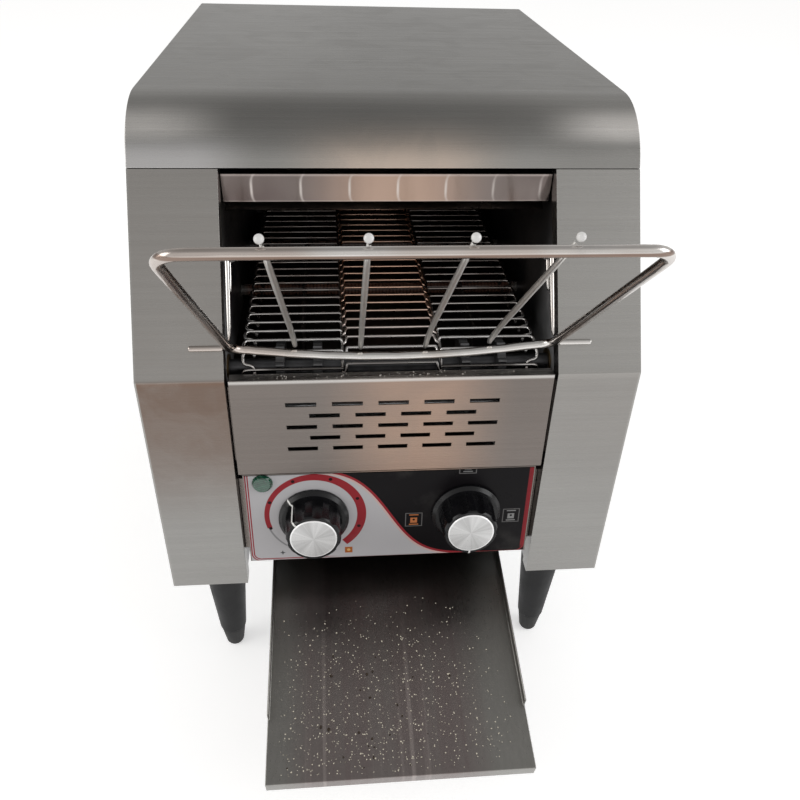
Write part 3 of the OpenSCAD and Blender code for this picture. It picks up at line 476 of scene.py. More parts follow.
class TOASTER_OT_case(Toaster, bpy.types.Operator):
    """Dress the hood, the side covers and the panels in brushed steel"""
    bl_idname = "toaster.case"
    bl_label = "Case"

    def execute(self, context):
        s = self.settings("toaster_case")
        outer_skin = (142.6, 143.4)
        hood_tone = [c * 0.93 for c in s.steel]

        def warm_bands(f):
            """A painted warm glow low on the middle of the hood's front."""
            x, y, z = f.xyz()
            near = (y - LIP_Y).fall(30, 44)
            return abs(x - 6).fall(12, 74) * z.step(382, 360) * near

        def painted_fold_light_and_shade(f, base):
            """Painted shade over the middle of the fold and on the flat top, painted highlights at
            both ends of the fold, and at the lip painted shade on the right and a painted
            highlight on the left.
            """
            x, y, z = f.xyz()
            y = y - LIP_Y
            near = y.fall(60, 90)
            # painted shade over the middle of the fold
            fold = y.fall(26, 84) * z.step(352, 374)
            middle = abs(x + 4).fall(56, 138)
            base = (fold * middle * 0.27).mix(base, (0.11, 0.105, 0.10))
            # painted shade on the flat top, stronger towards the right
            flat = y.step(18, 60) * z.step(384, 386.5)
            base = (flat * x.step(-90, 20, 0.24, 0.58)).mix(base, (0.14, 0.136, 0.128))
            # painted shade on the right of the lip and a painted highlight on its left
            lip = z.step(374, 363) * near
            base = (lip * x.step(70, 110) * 0.22).mix(base, (0.14, 0.136, 0.130))
            base = (lip * x.step(-70, -110) * 0.5).mix(base, (0.66, 0.65, 0.66))
            # painted highlights at both ends of the fold
            ends = abs(x).step(80, 132) * z.step(385, 377) * z.step(366, 375) * near
            return (ends * x.step(-20, 20, 0.78, 1.0)).mix(base, (0.86, 0.83, 0.80))

        def knee_stain(f):
            x, y, z = f.xyz()
            return (z.step(140, 235) * z.step(256, 259, 1.0, 0.15) * x.step(-60, 60, 1.0, 0.15)
                    * abs(x).fall(*outer_skin))

        def centre_glow(f):
            x, y, z = f.xyz()
            # painted warm glow over the middle of the panels
            return abs(x - 14.0).fall(8, 62)

        def painted_light_ledge(f, base):
            """The ledge before the belt, made paler with painted light."""
            x, y, z = f.xyz()
            # painted light: the ledge paler than the rest of the sheet
            return (z.step(254.5, 256.0) * 0.75).mix(base, (0.60, 0.58, 0.56))

        def shaded_foot(f, base):
            """A touch darker below the knee."""
            x, y, z = f.xyz()
            low = z.step(252, 259, 0.30, 0.0) * abs(x).fall(*outer_skin)
            return low.mix(base, (0.15, 0.148, 0.143))

        steel = brushed("Brushed hood", hood_tone, "X", s.roughness,
                        (0.60, 0.50, 0.425), warm_bands, tint=painted_fold_light_and_shade)
        back = brushed("Brushed back", hood_tone, "X", s.roughness)
        sides = brushed("Brushed column", s.steel, "X", s.roughness, s.tarnish, knee_stain,
                        tint=shaded_foot)
        panel = brushed("Brushed panel", (0.182, 0.160, 0.147), "X", s.roughness - 0.02,
                        (0.335, 0.237, 0.186), centre_glow, tint=painted_light_ledge)
        for name, material in (("hood", steel), ("side_cover_left", sides),
                               ("side_cover_right", sides), ("vent_panel", panel),
                               ("control_panel", panel), ("back_panel", back)):
            rounded(name, material, s.edge * (1.8 if name == "vent_panel" else 1))
        return {"FINISHED"}


class TOASTER_OT_header(Toaster, bpy.types.Operator):
    """Dress the polished strip over the mouth"""
    bl_idname = "toaster.header"
    bl_label = "Header Strip"

    def execute(self, context):
        s = self.settings("toaster_case")
        f = Finish("Polished header")
        x, y, z = f.xyz()
        # painted reflections: curved bright streaks across the polished strip, hooked towards its
        # edges
        rise = (z - 343.0) / 7.5
        wave = (x + 78.0 - rise * rise * rise * rise * 1.3) / 27.7
        near = abs(wave.op("FRACT") - 0.5)
        fall = x.step(10, 80, 0.75, 0.35) * abs(z - 343.0).step(1.0, 7.0, 1.0, 0.5)
        streak = near.step(0.455, 0.5) * fall
        centre = abs(x - 5.0).fall(10, 60)
        warm = f.cloud(16.0, 2.0).step(0.35, 0.65)
        mottled = f.noise(f.spot((1.0, 1.0, 0.2)), 140.0, 4.0)
        base = warm.mix((0.105, 0.082, 0.078), (0.175, 0.148, 0.138))
        base = centre.mix(base, (0.37, 0.265, 0.21))
        base = streak.mix(base, s.bright)
        # painted highlight along both long edges of the strip
        edge = abs(z - 343.0).step(6.6, 7.8)
        base = (edge * 0.4).mix(base, (0.55, 0.48, 0.45))
        rough = mottled.step(0.3, 0.7, 0.10, 0.22)
        material = f.shade(Base_Color=base, Metallic=1.0, Roughness=rough,
                           Normal=f.bump(mottled, 0.05))
        rounded("header_strip", material, s.edge)
        return {"FINISHED"}


class TOASTER_OT_inside(Toaster, bpy.types.Operator):
    """Finish the walls, plates, heaters and drive inside the case"""
    bl_idname = "toaster.inside"
    bl_label = "Inside"

    def execute(self, context):
        soot = soot_black("Sooted wall")
        zinc = spangled("Zinc sheet", (0.42, 0.43, 0.44))
        bright = plain_metal("Stained reflector", (0.42, 0.37, 0.33), 0.22, 30.0)
        shaft = plain_metal("Turned shaft", (0.50, 0.49, 0.48), 0.25, 90.0)
        iron = plain_metal("Oiled steel", (0.10, 0.10, 0.105), 0.38, 120.0)
        bronze = plain_metal("Bush bronze", (0.16, 0.115, 0.062), 0.42, 140.0, 0.8)
        motor = moulded("Motor paint", (0.11, 0.12, 0.13), 0.4, 500.0)
        glaze = moulded("Ceramic glaze", (0.62, 0.58, 0.50), 0.35, 400.0, 0.2)
        plastic = moulded("Switch plastic", (0.05, 0.052, 0.056), 0.45)
        gland = moulded("Gland plastic", (0.012, 0.012, 0.012), 0.5, 1200.0)
        dull = plain_metal("Smoked reflector", (0.055, 0.048, 0.044), 0.4, 30.0)
        ceramic = moulded("Smoked ceramic", (0.075, 0.066, 0.056), 0.5, 400.0)
        for material, names in (
                (soot, "inner_wall_left inner_wall_right"),
                (zinc, "base_plate control_shield motor_bracket tray_rail_left tray_rail_right"),
                (dull, "lower_reflector"), (bright, "upper_reflector return_chute"),
                (shaft, "motor_shaft speed_spindle selector_spindle rack_studs"),
                (iron, "drive_shaft idler_shaft shaft_sprocket motor_sprocket drive_chain"),
                (bronze, "shaft_bushes"), (motor, "gear_motor"), (glaze, "terminal_block"),
                (ceramic, "heater_end_caps"), (plastic, "speed_controller selector_switch")):
            for name in names.split():
                paint(name, material)
        rounded("cable_gland", gland, 0.0005)
        return {"FINISHED"}


class TOASTER_OT_heaters(Toaster, bpy.types.Operator):
    """Finish the quartz tubes with the coil that shows through them"""
    bl_idname = "toaster.heaters"
    bl_label = "Heater Tubes"

    def execute(self, context):
        f = Finish("Frosted quartz")
        x, y, z = f.xyz()
        coil = abs((x / 2.4).op("FRACT") - 0.5).step(0.12, 0.30, 0.0, 1.0)
        ends = abs(x).step(88, 96)
        haze = f.cloud(90.0, 4.0)
        base = (coil * 0.8).mix((0.055, 0.022, 0.015), (0.11, 0.052, 0.036))
        base = ends.mix(base, (0.07, 0.065, 0.06))
        material = f.shade(Base_Color=base, Roughness=haze.step(0.3, 0.7, 0.16, 0.34),
                           Coat_Weight=0.6, Coat_Roughness=0.1,
                           Normal=f.bump(coil, 0.15, 0.0003))
        for name in ("upper_heaters", "lower_heaters"):
            paint(name, material)
        return {"FINISHED"}


class TOASTER_OT_belt(Toaster, bpy.types.Operator):
    """Bend the belt's links from round wire, browned where the tubes heat it, with painted shade
    where it runs low
    """
    bl_idname = "toaster.belt"
    bl_label = "Wire Belt"
    teeth = 9
    links = 68
    edge_loop = 0.36
    tooth_steps = 12
    lip_to_rung = 42.4

    def shafts(self):
        """The front and the rear shaft's middle, across the belt's plane, in millimetres."""
        for name in ("idler_shaft", "drive_shaft"):
            low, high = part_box(name)
            yield Vector(((low[1] + high[1]) / 2, (low[2] + high[2]) / 2)) / MM

    def place(self, u, front, rear, pitch, radius):
        """Where the belt is, u pitches after the start of its upper run."""
        run = (self.links - self.teeth) / 2
        half = self.teeth / 2
        u %= self.links
        lap, centre, turn = (u, front, 90.0) if u < run + half else (u - run - half, rear, -90.0)
        way = 1 if turn > 0 else -1
        if lap <= run:
            return centre + Vector((way * lap * pitch, way * radius))
        end = rear if turn > 0 else front
        angle = math.radians(turn - (lap - run) * 360 / self.teeth)
        return end + radius * Vector((math.cos(angle), math.sin(angle)))

    def link(self, half_width, pitch, wire):
        """Half a link: across, along the belt and out of it."""
        drop = wire * 2.25
        third = half_width / 3
        edge, loop = half_width, self.edge_loop * pitch
        return [(third - 1.3, -0.75 * pitch, 0), (third - 1.1, -0.86 * pitch, -drop * 0.2),
                (third - 0.3, -pitch - 2.1, -drop * 0.7), (third + 1.3, -pitch - 2.1, -drop),
                (third + 1.3, -0.2 * pitch, -drop * 0.6), (third + 1.5, 0, 0), (edge, 0, 0),
                (edge + 0.75 * loop, -0.1 * loop, 0), (edge + loop, -loop, -drop * 0.2),
                (edge + 0.75 * loop, -1.9 * loop, -drop * 0.3),
                (edge - 0.2 * loop, -2.0 * loop, -drop * 0.4), (edge - 2.6, -0.86 * pitch, -drop),
                (edge - 3.0, -1.15 * pitch, -drop), (edge - 3.2, -1.20 * pitch, -drop * 0.2)]

    def bent(self, points, radius):
        """A path whose corners are bent round."""
        path = [points[0]]
        for before, corner, after in zip(points, points[1:], points[2:]):
            one, two = before - corner, after - corner
            cut = min(radius, one.length * 0.45, two.length * 0.45)
            a, b = corner + one.normalized() * cut, corner + two.normalized() * cut
            path += [a, (a + b) / 4 + corner / 2, b]
        return path + [points[-1]]

    def wheel(self, bm, x, middle, radius, first):
        """A toothed wheel across the shaft; first is the angle of one tooth."""
        width, bore = 5.0, 5.05
        count = self.tooth_steps * self.teeth
        rings = [bmesh.ops.create_circle(bm, segments=count, radius=r)["verts"]
                 for r in (radius, bore)]
        start = math.degrees(math.atan2(rings[0][6].co.y, rings[0][6].co.x))
        for i, v in enumerate(rings[0]):
            place = i % self.tooth_steps
            if place in (5, 6, 7):
                v.co *= (radius + (2.2 if place == 6 else 1.8)) / radius
        edges = dict.fromkeys(e for ring in rings for v in ring for e in v.link_edges)
        faces = bmesh.ops.bridge_loops(bm, edges=list(edges))["faces"]
        out = bmesh.ops.extrude_face_region(bm, geom=faces)
        top = [v for v in out["geom"] if isinstance(v, bmesh.types.BMVert)]
        bmesh.ops.translate(bm, verts=top, vec=(0, 0, width))
        bmesh.ops.transform(bm, verts=rings[0] + rings[1] + top,
                            matrix=Matrix.Scale(MM, 4)
                            @ Matrix.Translation((x - width / 2, middle[0], middle[1]))
                            @ Matrix.Rotation(math.radians(90), 4, "Y")
                            @ Matrix.Rotation(math.radians(first + 90 - start), 4, "Z"))

    def wheels(self, name, middle, radius, first, iron):
        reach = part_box(name)[1][0] / MM
        bm = bmesh.new()
        for x in (reach - 2.5, reach - 24.1):
            for side in (-1, 1):
                self.wheel(bm, side * x, middle, radius, first)
        bmesh.ops.recalc_face_normals(bm, faces=bm.faces)
        stand_in(name, crease(bm, 40), iron)

    def execute(self, context):
        s = self.settings("toaster_wire")
        front, rear = self.shafts()
        wire = s.wire / MM
        run = (rear - front).length
        pitch = run * 2 / (self.links - self.teeth)
        radius = pitch / 2 / math.sin(math.pi / self.teeth)
        half_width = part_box("conveyor_belt")[1][0] / MM - self.edge_loop * pitch - wire
        half = [Vector(q) for q in self.link(half_width, pitch, wire)]
        whole = [Vector((-q.x, q.y, q.z)) for q in reversed(half)] + half
        phase = ((LIP_Y - self.lip_to_rung - front.x) / pitch) % 1
        curve = bpy.data.curves.new("belt_path", "CURVE")
        curve.dimensions = "3D"
        curve.bevel_depth = s.wire
        curve.bevel_resolution = 1
        curve.use_fill_caps = True
        for i in range(self.links):
            at = self.place(i + phase, front, rear, pitch, radius)
            along = (at - self.place(i + phase - 1, front, rear, pitch, radius)).normalized()
            bent = self.bent([Vector((q.x, at.x + q.y * along.x - q.z * along.y,
                                      at.y + q.y * along.y + q.z * along.x)) for q in whole], 1.5)
            spline = curve.splines.new("POLY")
            spline.points.add(len(bent) - 1)
            for point, q in zip(spline.points, bent):
                point.co = (*(q * MM), 1)
        path = bpy.data.objects.new("belt_path", curve)
        bpy.context.scene.collection.objects.link(path)
        bpy.context.view_layer.update()
        mesh = bpy.data.meshes.new_from_object(path.evaluated_get(
            bpy.context.evaluated_depsgraph_get()))
        bpy.data.objects.remove(path)
        bpy.data.curves.remove(curve)
        bm = bmesh.new()
        bm.from_mesh(mesh)
        bpy.data.meshes.remove(mesh)
        bmesh.ops.remove_doubles(bm, verts=bm.verts, dist=1e-6)
        bmesh.ops.recalc_face_normals(bm, faces=bm.faces)
        f = Finish("Belt wire")
        x, y, z = f.xyz()
        y = y - LIP_Y
        middle = abs(x).fall(27, 30)
        # smoke further back on the belt, and painted shade where the wire runs low
        deep = y.step(-34, 40).high(z.fall(252, 262))
        stain = f.cloud(60.0, 4.0).step(0.30, 0.70)
        base = (deep * stain.step(0, 1, 0.75, 1.0)).mix(s.belt, s.smoked_and_shaded)
        base = (middle * y.step(-50, 40)).mix(base, s.coppery)
        base = (stain * 0.25).mix(base, (0.16, 0.13, 0.115))
        # painted shade: the wire below the top run darkened nearly to black
        under = z.fall(255, 262) * abs(x).fall(68, 78)
        base = (under * 0.95).mix(base, (0.045, 0.040, 0.037))
        rough = stain.step(0, 1, 0.14, 0.34)
        material = f.shade(Base_Color=base, Metallic=1.0, Roughness=rough)
        stand_in("conveyor_belt", crease(bm, 70), material)
        iron = plain_metal("Oiled wheel", (0.16, 0.16, 0.165), 0.36, 120.0)
        step = 360 / self.teeth
        for name, middle, foot in (("idler_wheels", front, 270), ("drive_wheels", rear, 90)):
            rung = foot - (phase - 0.5) * step
            self.wheels(name, middle, radius - wire - 0.1, rung - step / 4, iron)
        return {"FINISHED"}


class TOASTER_OT_rack(Toaster, bpy.types.Operator):
    """Dress the loading rack in plated round wire with white dipped ends"""
    bl_idname = "toaster.rack"
    bl_label = "Loading Rack"

    def tips(self, white):
        """The dipped ends, each shrunk towards its lower end."""
        bm = joined("rack_tips")
        up = Vector(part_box("rack_frame")[1]) - Vector(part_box("rack_frame")[0])
        up = Vector((0, -up.y, up.z)).normalized()
        for group in islands(bm):
            reach = [v.co.dot(up) for v in group]
            middle = sum((v.co for v in group), Vector()) / len(group)
            foot = middle - up * (middle.dot(up) - min(reach))
            for v in group:
                v.co = foot + (v.co - foot) * 0.78
        stand_in("rack_tips", crease(bm, 50), white)

    def execute(self, context):
        s = self.settings("toaster_wire")
        f = Finish("Rack plating")
        clouds = f.cloud(45.0, 5.0, 0.6)
        warm = f.cloud(14.0, 2.0).step(0.40, 0.62)
        base = (warm * 0.55).mix(s.chrome, (0.42, 0.33, 0.28))
        base = (clouds.step(0.50, 0.75) * 0.4).mix(base, [c * 0.6 for c in s.chrome])
        x, y, z = f.xyz()
        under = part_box("rack_frame")[1][2] / MM - z
        brown = under.step(2.4, 3.0) * under.fall(4.4, 5.0)
        base = (brown * abs(x - 10).step(60, 170, 0.95, 0.6)).mix(base, (0.20, 0.135, 0.105))
        material = f.shade(Base_Color=base, Metallic=1.0,
                           Roughness=clouds.step(0.3, 0.7, 0.12, 0.27),
                           Normal=f.bump(clouds, 0.04, 0.0002))
        softened("rack_frame", material, 0.0002)
        ribs = plain_metal("Rib plating", (0.80, 0.78, 0.75), 0.36, 90.0, 0.25)
        softened("rack_ribs", ribs, 0.00022)
        softened("rack_hooks", material, 0.0001)
        rounded("rack_rod", material, 0.0006)
        self.tips(moulded("White dip", (0.74, 0.73, 0.72), 0.22, 300.0, 0.4))
        return {"FINISHED"}


class TOASTER_OT_overlay(Toaster, bpy.types.Operator):
    """Print the silver, black and red film on the control panel"""
    bl_idname = "toaster.overlay"
    bl_label = "Printed Film"

    def execute(self, context):
        s = self.settings("toaster_controls")
        f = Finish("Printed film")
        turn = math.radians(PANEL_LEAN)
        foot = (0, PANEL_FOOT[0] * MM, PANEL_FOOT[1] * MM)
        x, y, w = f.axes(f.spot(1000.0, (turn, 0, 0), foot))
        w = w - 1.5
        fade = 0.12

        def inside(distance, edge=0.0):
            return distance.fall(edge - fade, edge + fade)

        def radius(cx, cw):
            return ((x - cx) * (x - cx) + (w - cw) * (w - cw)).op("SQRT")

        # curved line between the silver and the dark field
        reach = x.step(-1.0, 1.0, 38.0, 35.2)
        bend = ((x - 0.5) / (reach / 1.667)).op("TANH")
        slope = (1.0 - bend * bend) * 1.667
        across = (w - 34.6 + bend * reach) / (slope * slope + 1.0).op("SQRT")
        base = across.step(-fade, fade).mix(s.silver, s.dark)
        base = inside(abs(across + 0.7), 0.85).mix(base, s.red)
        base = inside(abs(across + 2.2), 0.6).mix(base, s.cream)
        # ring that thickens clockwise, with its dots and the thin grey start
        outer = radius(-47.9, 36.0)
        inner = radius(-49.2, 35.8)
        angle = (w - 36.0).op("ARCTAN2", x + 48.5) * (180 / math.pi)
        sweep = (angle + 162.0).op("WRAP", 360.0, 0.0).step(110.0, 111.0)
        ring = inside(outer, 32.3) * (1.0 - inside(inner, 27.8)) * sweep
        base = ring.mix(base, s.red)
        start = inside(abs(outer - 31.2), 0.6) * (angle - 200.0).op("WRAP", 360.0, 0.0).fall(
            32.0, 34.0)
        base = (start * 0.6).mix(base, (0.12, 0.12, 0.125))
        for turn_deg in (199, 158, 115, 69, 24, -20):
            a = math.radians(turn_deg)
            dot = radius(-48.5 + 29.9 * math.cos(a), 36.0 + 29.9 * math.sin(a))
            base = inside(dot, 1.15).mix(base, (0.02, 0.006, 0.008))
        # squares with a slice of bread in each, in three places
        bare = (0.15, 0.145, 0.145)
        for cx, cw, tone in ((15.2, 29.2, (0.55, 0.19, 0.07)), (79.2, 29.8, (0.28, 0.28, 0.28)),
                             (48.3, 70.5, (0.20, 0.20, 0.20))):
            frame_line = abs(abs(x - cx).high(abs(w - cw)) - 5.3)
            base = inside(frame_line, 0.28).mix(base, bare)
            loaf = abs(x - cx).high(abs(w - cw) * 1.1 + (w - cw) * 0.25)
            base = inside(loaf, 2.2).mix(base, tone)
            base = inside(radius(cx, cw), 0.8).mix(base, s.dark)
            bars = abs(abs(w - cw) - 3.9).high(abs(x - cx) - 2.6)
            base = inside(bars, 0.4).mix(base, tone)
        # small marks at the two ends of the ring
        mark = abs(x + 27.2).high(abs(w - 5.6))
        base = inside(mark, 2.5).mix(base, (0.40, 0.12, 0.03))
        base = inside(radius(-27.2, 5.6), 1.1).mix(base, (0.75, 0.45, 0.18))
        star = (abs(x + 70.3) * 0.35 + abs(w - 5.3)).low(abs(x + 70.3) + abs(w - 5.3) * 0.35)
        base = inside(star, 0.7).mix(base, (0.08, 0.08, 0.085))
        # red border round the lower corners: two lines on the left, a band on the right
        side = (abs(x) - 84.2).high(0.0)
        down = (5.0 - w).high(0.0)
        border = (side * side + down * down).op("SQRT")
        right = x.step(-1.0, 1.0)
        base = inside(abs(border - 5.9), 0.38).mix(base, s.red)
        base = (inside(abs(border - 4.5), 0.38) * x.fall(-50, -30)).mix(base, s.red)
        band = inside(abs(side - 5.0), 1.3) * right * (1.0 - down.step(0.0, 5.0))
        base = (band * 0.8).mix(base, s.red)
        grain = f.cloud(2600.0, 2.0)
        smear = f.cloud(28.0, 5.0, 0.6)
        base = (smear.step(0.55, 0.8) * 0.06).mix(base, (0.42, 0.40, 0.38))
        material = f.shade(Base_Color=base, Roughness=smear.step(0.3, 0.7, 0.26, 0.40),
                           Specular_IOR_Level=0.1,
                           Normal=f.bump(grain, 0.05))
        rounded("control_overlay", material, 0.0001, 1)
        return {"FINISHED"}


class TOASTER_OT_lamp(Toaster, bpy.types.Operator):
    """Finish the ribbed green lens"""
    bl_idname = "toaster.lamp"
    bl_label = "Lamp"

    def execute(self, context):
        s = self.settings("toaster_controls")
        f = Finish("Green lens")
        x, y, z = f.xyz()
        ribs = abs(((x * 0.35 + z) / 1.5).op("FRACT") - 0.5) * 2.0
        murk = f.cloud(260.0, 3.0)
        base = (ribs.step(0.1, 0.9) * 0.5 + murk.step(0.35, 0.65) * 0.5).mix(
            [c * 0.45 for c in s.lamp], [min(1, c * 1.5) for c in s.lamp])
        material = f.shade(Base_Color=base, Roughness=murk.step(0.3, 0.7, 0.08, 0.2),
                           Coat_Weight=1.0, Coat_Roughness=0.05,
                           Normal=f.bump(ribs, 0.5, 0.0004))
        rounded("power_lamp", material, 0.0005, 3)
        return {"FINISHED"}


class TOASTER_OT_knobs(Toaster, bpy.types.Operator):
    """Dress the knobs, their spun caps and their white pointer lines"""
    bl_idname = "toaster.knobs"
    bl_label = "Knobs"

    def pointer(self, x, clockwise, path, body, material, name):
        """A white line along a knob, as points of radius and height."""
        bm = bmesh.new()
        ends = [bm.verts.new((side, path[0][0], path[0][1])) for side in (-0.55, 0.55)]
        edge = bm.edges.new(ends)
        for (r0, z0), (r1, z1) in zip(path, path[1:]):
            out = bmesh.ops.extrude_edge_only(bm, edges=[edge])
            moved = [v for v in out["geom"] if isinstance(v, bmesh.types.BMVert)]
            bmesh.ops.translate(bm, verts=moved, vec=(0, r1 - r0, z1 - z0))
            edge = next(e for e in out["geom"] if isinstance(e, bmesh.types.BMEdge)
                        and all(v in moved for v in e.verts))
        bmesh.ops.recalc_face_normals(bm, faces=bm.faces)
        bmesh.ops.solidify(bm, geom=bm.faces[:], thickness=0.14)
        bmesh.ops.recalc_face_normals(bm, faces=bm.faces)
        bmesh.ops.transform(bm, verts=bm.verts, matrix=on_panel(x, KNOB_UP)
                            @ Matrix.Rotation(math.radians(-clockwise), 4, "Z")
                            @ Matrix.Scale(MM, 4))
        made(name, bm, material, body, "white_caps")

    def cap(self, name, x):
        f = Finish("Spun cap " + ("left" if x < 0 else "right"))
        turn = math.radians(PANEL_LEAN)
        foot = (x * MM, PANEL_FOOT[0] * MM, PANEL_FOOT[1] * MM)
        u, v, w = f.axes(f.spot(1000.0, (turn, 0, 0), foot))
        w = w - KNOB_UP
        r = (u * u + w * w).op("SQRT")
        angle = w.op("ARCTAN2", u)
        rings = f.noise(node(f.tree, "ShaderNodeCombineXYZ", {0: r * 9.0}).outputs[0], 1.0, 3.0)
        rays = node(f.tree, "ShaderNodeCombineXYZ",
                    {0: angle.op("COSINE") * 3.0, 1: angle.op("SINE") * 3.0})
        # painted highlights: a fan of streaks and four bright lobes round the cap, standing in for
        # the light a spun cap catches
        fan = f.noise(rays.outputs[0], 1.6, 4.0, 0.6)
        highlight_lobes = (angle * 4.0 + 1.2).op("COSINE").step(-1.0, 1.0)
        base = (fan.step(0.3, 0.7) * 0.55 + highlight_lobes * 0.45).mix((0.48, 0.48, 0.48),
                                                              (0.70, 0.70, 0.70))
        base = r.step(13.4, 13.9).mix(base, (0.92, 0.92, 0.92))
        material = f.shade(Base_Color=base, Metallic=1.0,
                           Roughness=rings.step(0.3, 0.7, 0.26, 0.42),
                           Normal=f.bump(rings, 0.10))
        rounded(name, material, 0.0003)

    def execute(self, context):
        s = self.settings("toaster_controls")
        black = moulded("Knob gloss", s.knob, 0.22, 1500.0, 0.0, 0.006, 0.34)
        for name in ("speed_knob", "selector_knob"):
            rounded(name, black, 0.0005, 3, 35)
        self.cap("speed_knob_cap", -KNOB_X)
        self.cap("selector_knob_cap", KNOB_X)
        white = moulded("Pointer white", (0.80, 0.80, 0.78), 0.4, 700.0)
        whole = [(22.34, 1.0), (22.34, 2.3), (20.3, 4.42), (18.3, 4.42), (18.22, 19.6),
                 (17.2, 20.15), (16.3, 21.1), (14.6, 21.1)]
        self.pointer(-KNOB_X, -45, whole, "speed_control", white, "speed_pointer")
        self.pointer(KNOB_X, 180, whole[4:], "selector_control", white, "selector_pointer")
        return {"FINISHED"}


class TOASTER_OT_tray(Toaster, bpy.types.Operator):
    """Dress the tray in worn sheet and strew crumbs on it and on the ledge"""
    bl_idname = "toaster.tray"
    bl_label = "Toast Tray"

    def strew(self, name, count, matrix, low, high, body, material, rng, size):
        bm = bmesh.new()
        for _ in range(count):
            r = size * rng.uniform(0.35, 1.0) * rng.uniform(0.6, 1.0)
            spread = rng.betavariate(1.2, 2.0)
            across = rng.betavariate(1.5, 1.9)
            at = (low[0] + (high[0] - low[0]) * across, low[1] + (high[1] - low[1]) * spread,
                  r * 0.45)
            place = (matrix @ Matrix.Translation(Vector(at) * MM)
                     @ Matrix.Rotation(rng.uniform(0, 6.28), 4, "Z")
                     @ Matrix.Diagonal((r * MM, r * MM * rng.uniform(0.5, 1), r * MM * 0.6, 1)))
            bmesh.ops.create_icosphere(bm, subdivisions=1, radius=1.0, matrix=place)
        for v in bm.verts:
            v.co += Vector([rng.uniform(-0.12, 0.12) * MM for _ in range(2)] + [0])
        made(name, bm, material, body)

    def execute(self, context):
        s = self.settings("toaster_tray")
        case = self.settings("toaster_case")

        def slide_track(f):
            x, y, z = f.xyz()
            streaks = f.noise(f.spot((1000.0, 12.0, 12.0)), 0.11, 4.0, 0.6).step(0.35, 0.65)
            return abs(x + 6.0).fall(44, 66) * streaks.step(0, 1, 0.76, 1.0)

        def shadow_and_streaks(f, base):
            """Painted shadow under the chute, with pale scratches along the slide."""
            x, y, z = f.xyz()
            lines = f.noise(f.spot((1000.0, 5.0, 5.0)), 0.21, 2.0, 0.5).step(0.56, 0.76)
            lines = lines * abs(x + 10.0).fall(50, 66) * z.step(88, 68, 0.06, 0.5)
            base = lines.mix(base, (0.50, 0.44, 0.42))
            # painted shadow: the tray darkened where it runs under the chute
            deep = z.step(70, 104) * abs(x - 6.0).step(44, 60, 1.0, 0.3)
            return (deep * 0.9).mix(base, (0.022, 0.016, 0.014))

        sheet = brushed("Worn tray", s.sheet, "Y", 0.34, s.worn, slide_track, 2.0,
                        shadow_and_streaks)
        rounded("toast_tray", sheet, case.edge)
        f = Finish("Crumb")
        tint = f.cloud(320.0, 2.0)
        base = tint.step(0.30, 0.50).mix([c * 0.3 for c in s.crumb], s.crumb)
        crumb = f.shade(Base_Color=base, Roughness=0.85, Normal=f.bump(tint, 0.6, 0.0005))
        rng = random.Random(s.seed)
        self.strew("tray_crumbs", s.crumbs, on_tray(), (-74, 3), (74, 116), "tray", crumb, rng,
                   0.70)
        crust = moulded("Crust", (0.035, 0.022, 0.012), 0.8, 900.0, 0.0, 0.02)
        self.strew("tray_crusts", 26, on_tray(), (-70, 6), (50, 80), "tray", crust, rng, 1.5)
        ledge = Matrix.Translation((0, (LIP_Y - 62) * MM, 257.2 * MM)) @ Matrix.Rotation(
            math.radians(-2.4), 4, "X")
        pale = plain_metal("Ledge speck", (0.55, 0.52, 0.48), 0.4, 300.0, metallic=0.0)
        self.strew("ledge_crumbs", s.crumbs // 14, ledge, (-88, 0.5), (88, 7.0), "chassis", pale,
                   rng, 0.6)
        return {"FINISHED"}


class TOASTER_OT_legs(Toaster, bpy.types.Operator):
    """Dress the tapered legs and the screwed feet"""
    bl_idname = "toaster.legs"
    bl_label = "Legs"

    def execute(self, context):
        leg = moulded("Leg plastic", (0.007, 0.007, 0.008), 0.46, 800.0, 0.0, 0.012, 0.28)
        foot = moulded("Foot rubber", (0.010, 0.010, 0.010), 0.6, 500.0, 0.0, 0.05)
        for place in ("front_left", "front_right", "rear_left", "rear_right"):
            rounded("leg_" + place, leg, 0.0006)
            rounded("foot_" + place, foot, 0.0006)
        return {"FINISHED"}


class TOASTER_OT_screws(Toaster, bpy.types.Operator):
    """Dress the case screws as flat discs over short shanks"""
    bl_idname = "toaster.screws"
    bl_label = "Screws"

    def execute(self, context):
        steel = plain_metal("Screw plating", (0.52, 0.51, 0.50), 0.24, 200.0)
        solid = joined("case_screws", flat=0)
        bm = bmesh.new()
        for group in islands(solid):
            low = Vector([min(v.co[i] for v in group) for i in range(3)])
            high = Vector([max(v.co[i] for v in group) for i in range(3)])
            centre, size = (low + high) / 2, high - low
            axis = min(range(3), key=lambda i: size[i])
            sign = 1 if centre[axis] > 0 else -1
            way = Vector([sign if i == axis else 0 for i in range(3)])
            top = centre + way * size[axis] / 2
            place = Matrix.Translation(top) @ way.to_track_quat("Z", "Y").to_matrix().to_4x4()
            self.head(bm, place @ Matrix.Scale(MM, 4))
        solid.free()
        stand_in("case_screws", crease(bm, 40), steel)
        return {"FINISHED"}

    def head(self, bm, place):
        """An open disc below the solid's top, at height 0, and a separate shank."""
        made_part = bmesh.new()
        bmesh.ops.create_circle(made_part, cap_ends=True, segments=24, radius=3.5)
        bmesh.ops.translate(made_part, verts=made_part.verts, vec=(0, 0, -0.9))
        shank = bmesh.ops.create_cone(made_part, cap_ends=True, segments=16, radius1=1.5,
                                      radius2=1.5, depth=2.0)
        bmesh.ops.translate(made_part, verts=shank["verts"], vec=(0, 0, -2.8))
        mesh = bpy.data.meshes.new("screw_head")
        made_part.to_mesh(mesh)
        made_part.free()
        count = len(bm.verts)
        bm.from_mesh(mesh)
        bpy.data.meshes.remove(mesh)
        bm.verts.ensure_lookup_table()
        bmesh.ops.transform(bm, matrix=place, verts=bm.verts[count:])


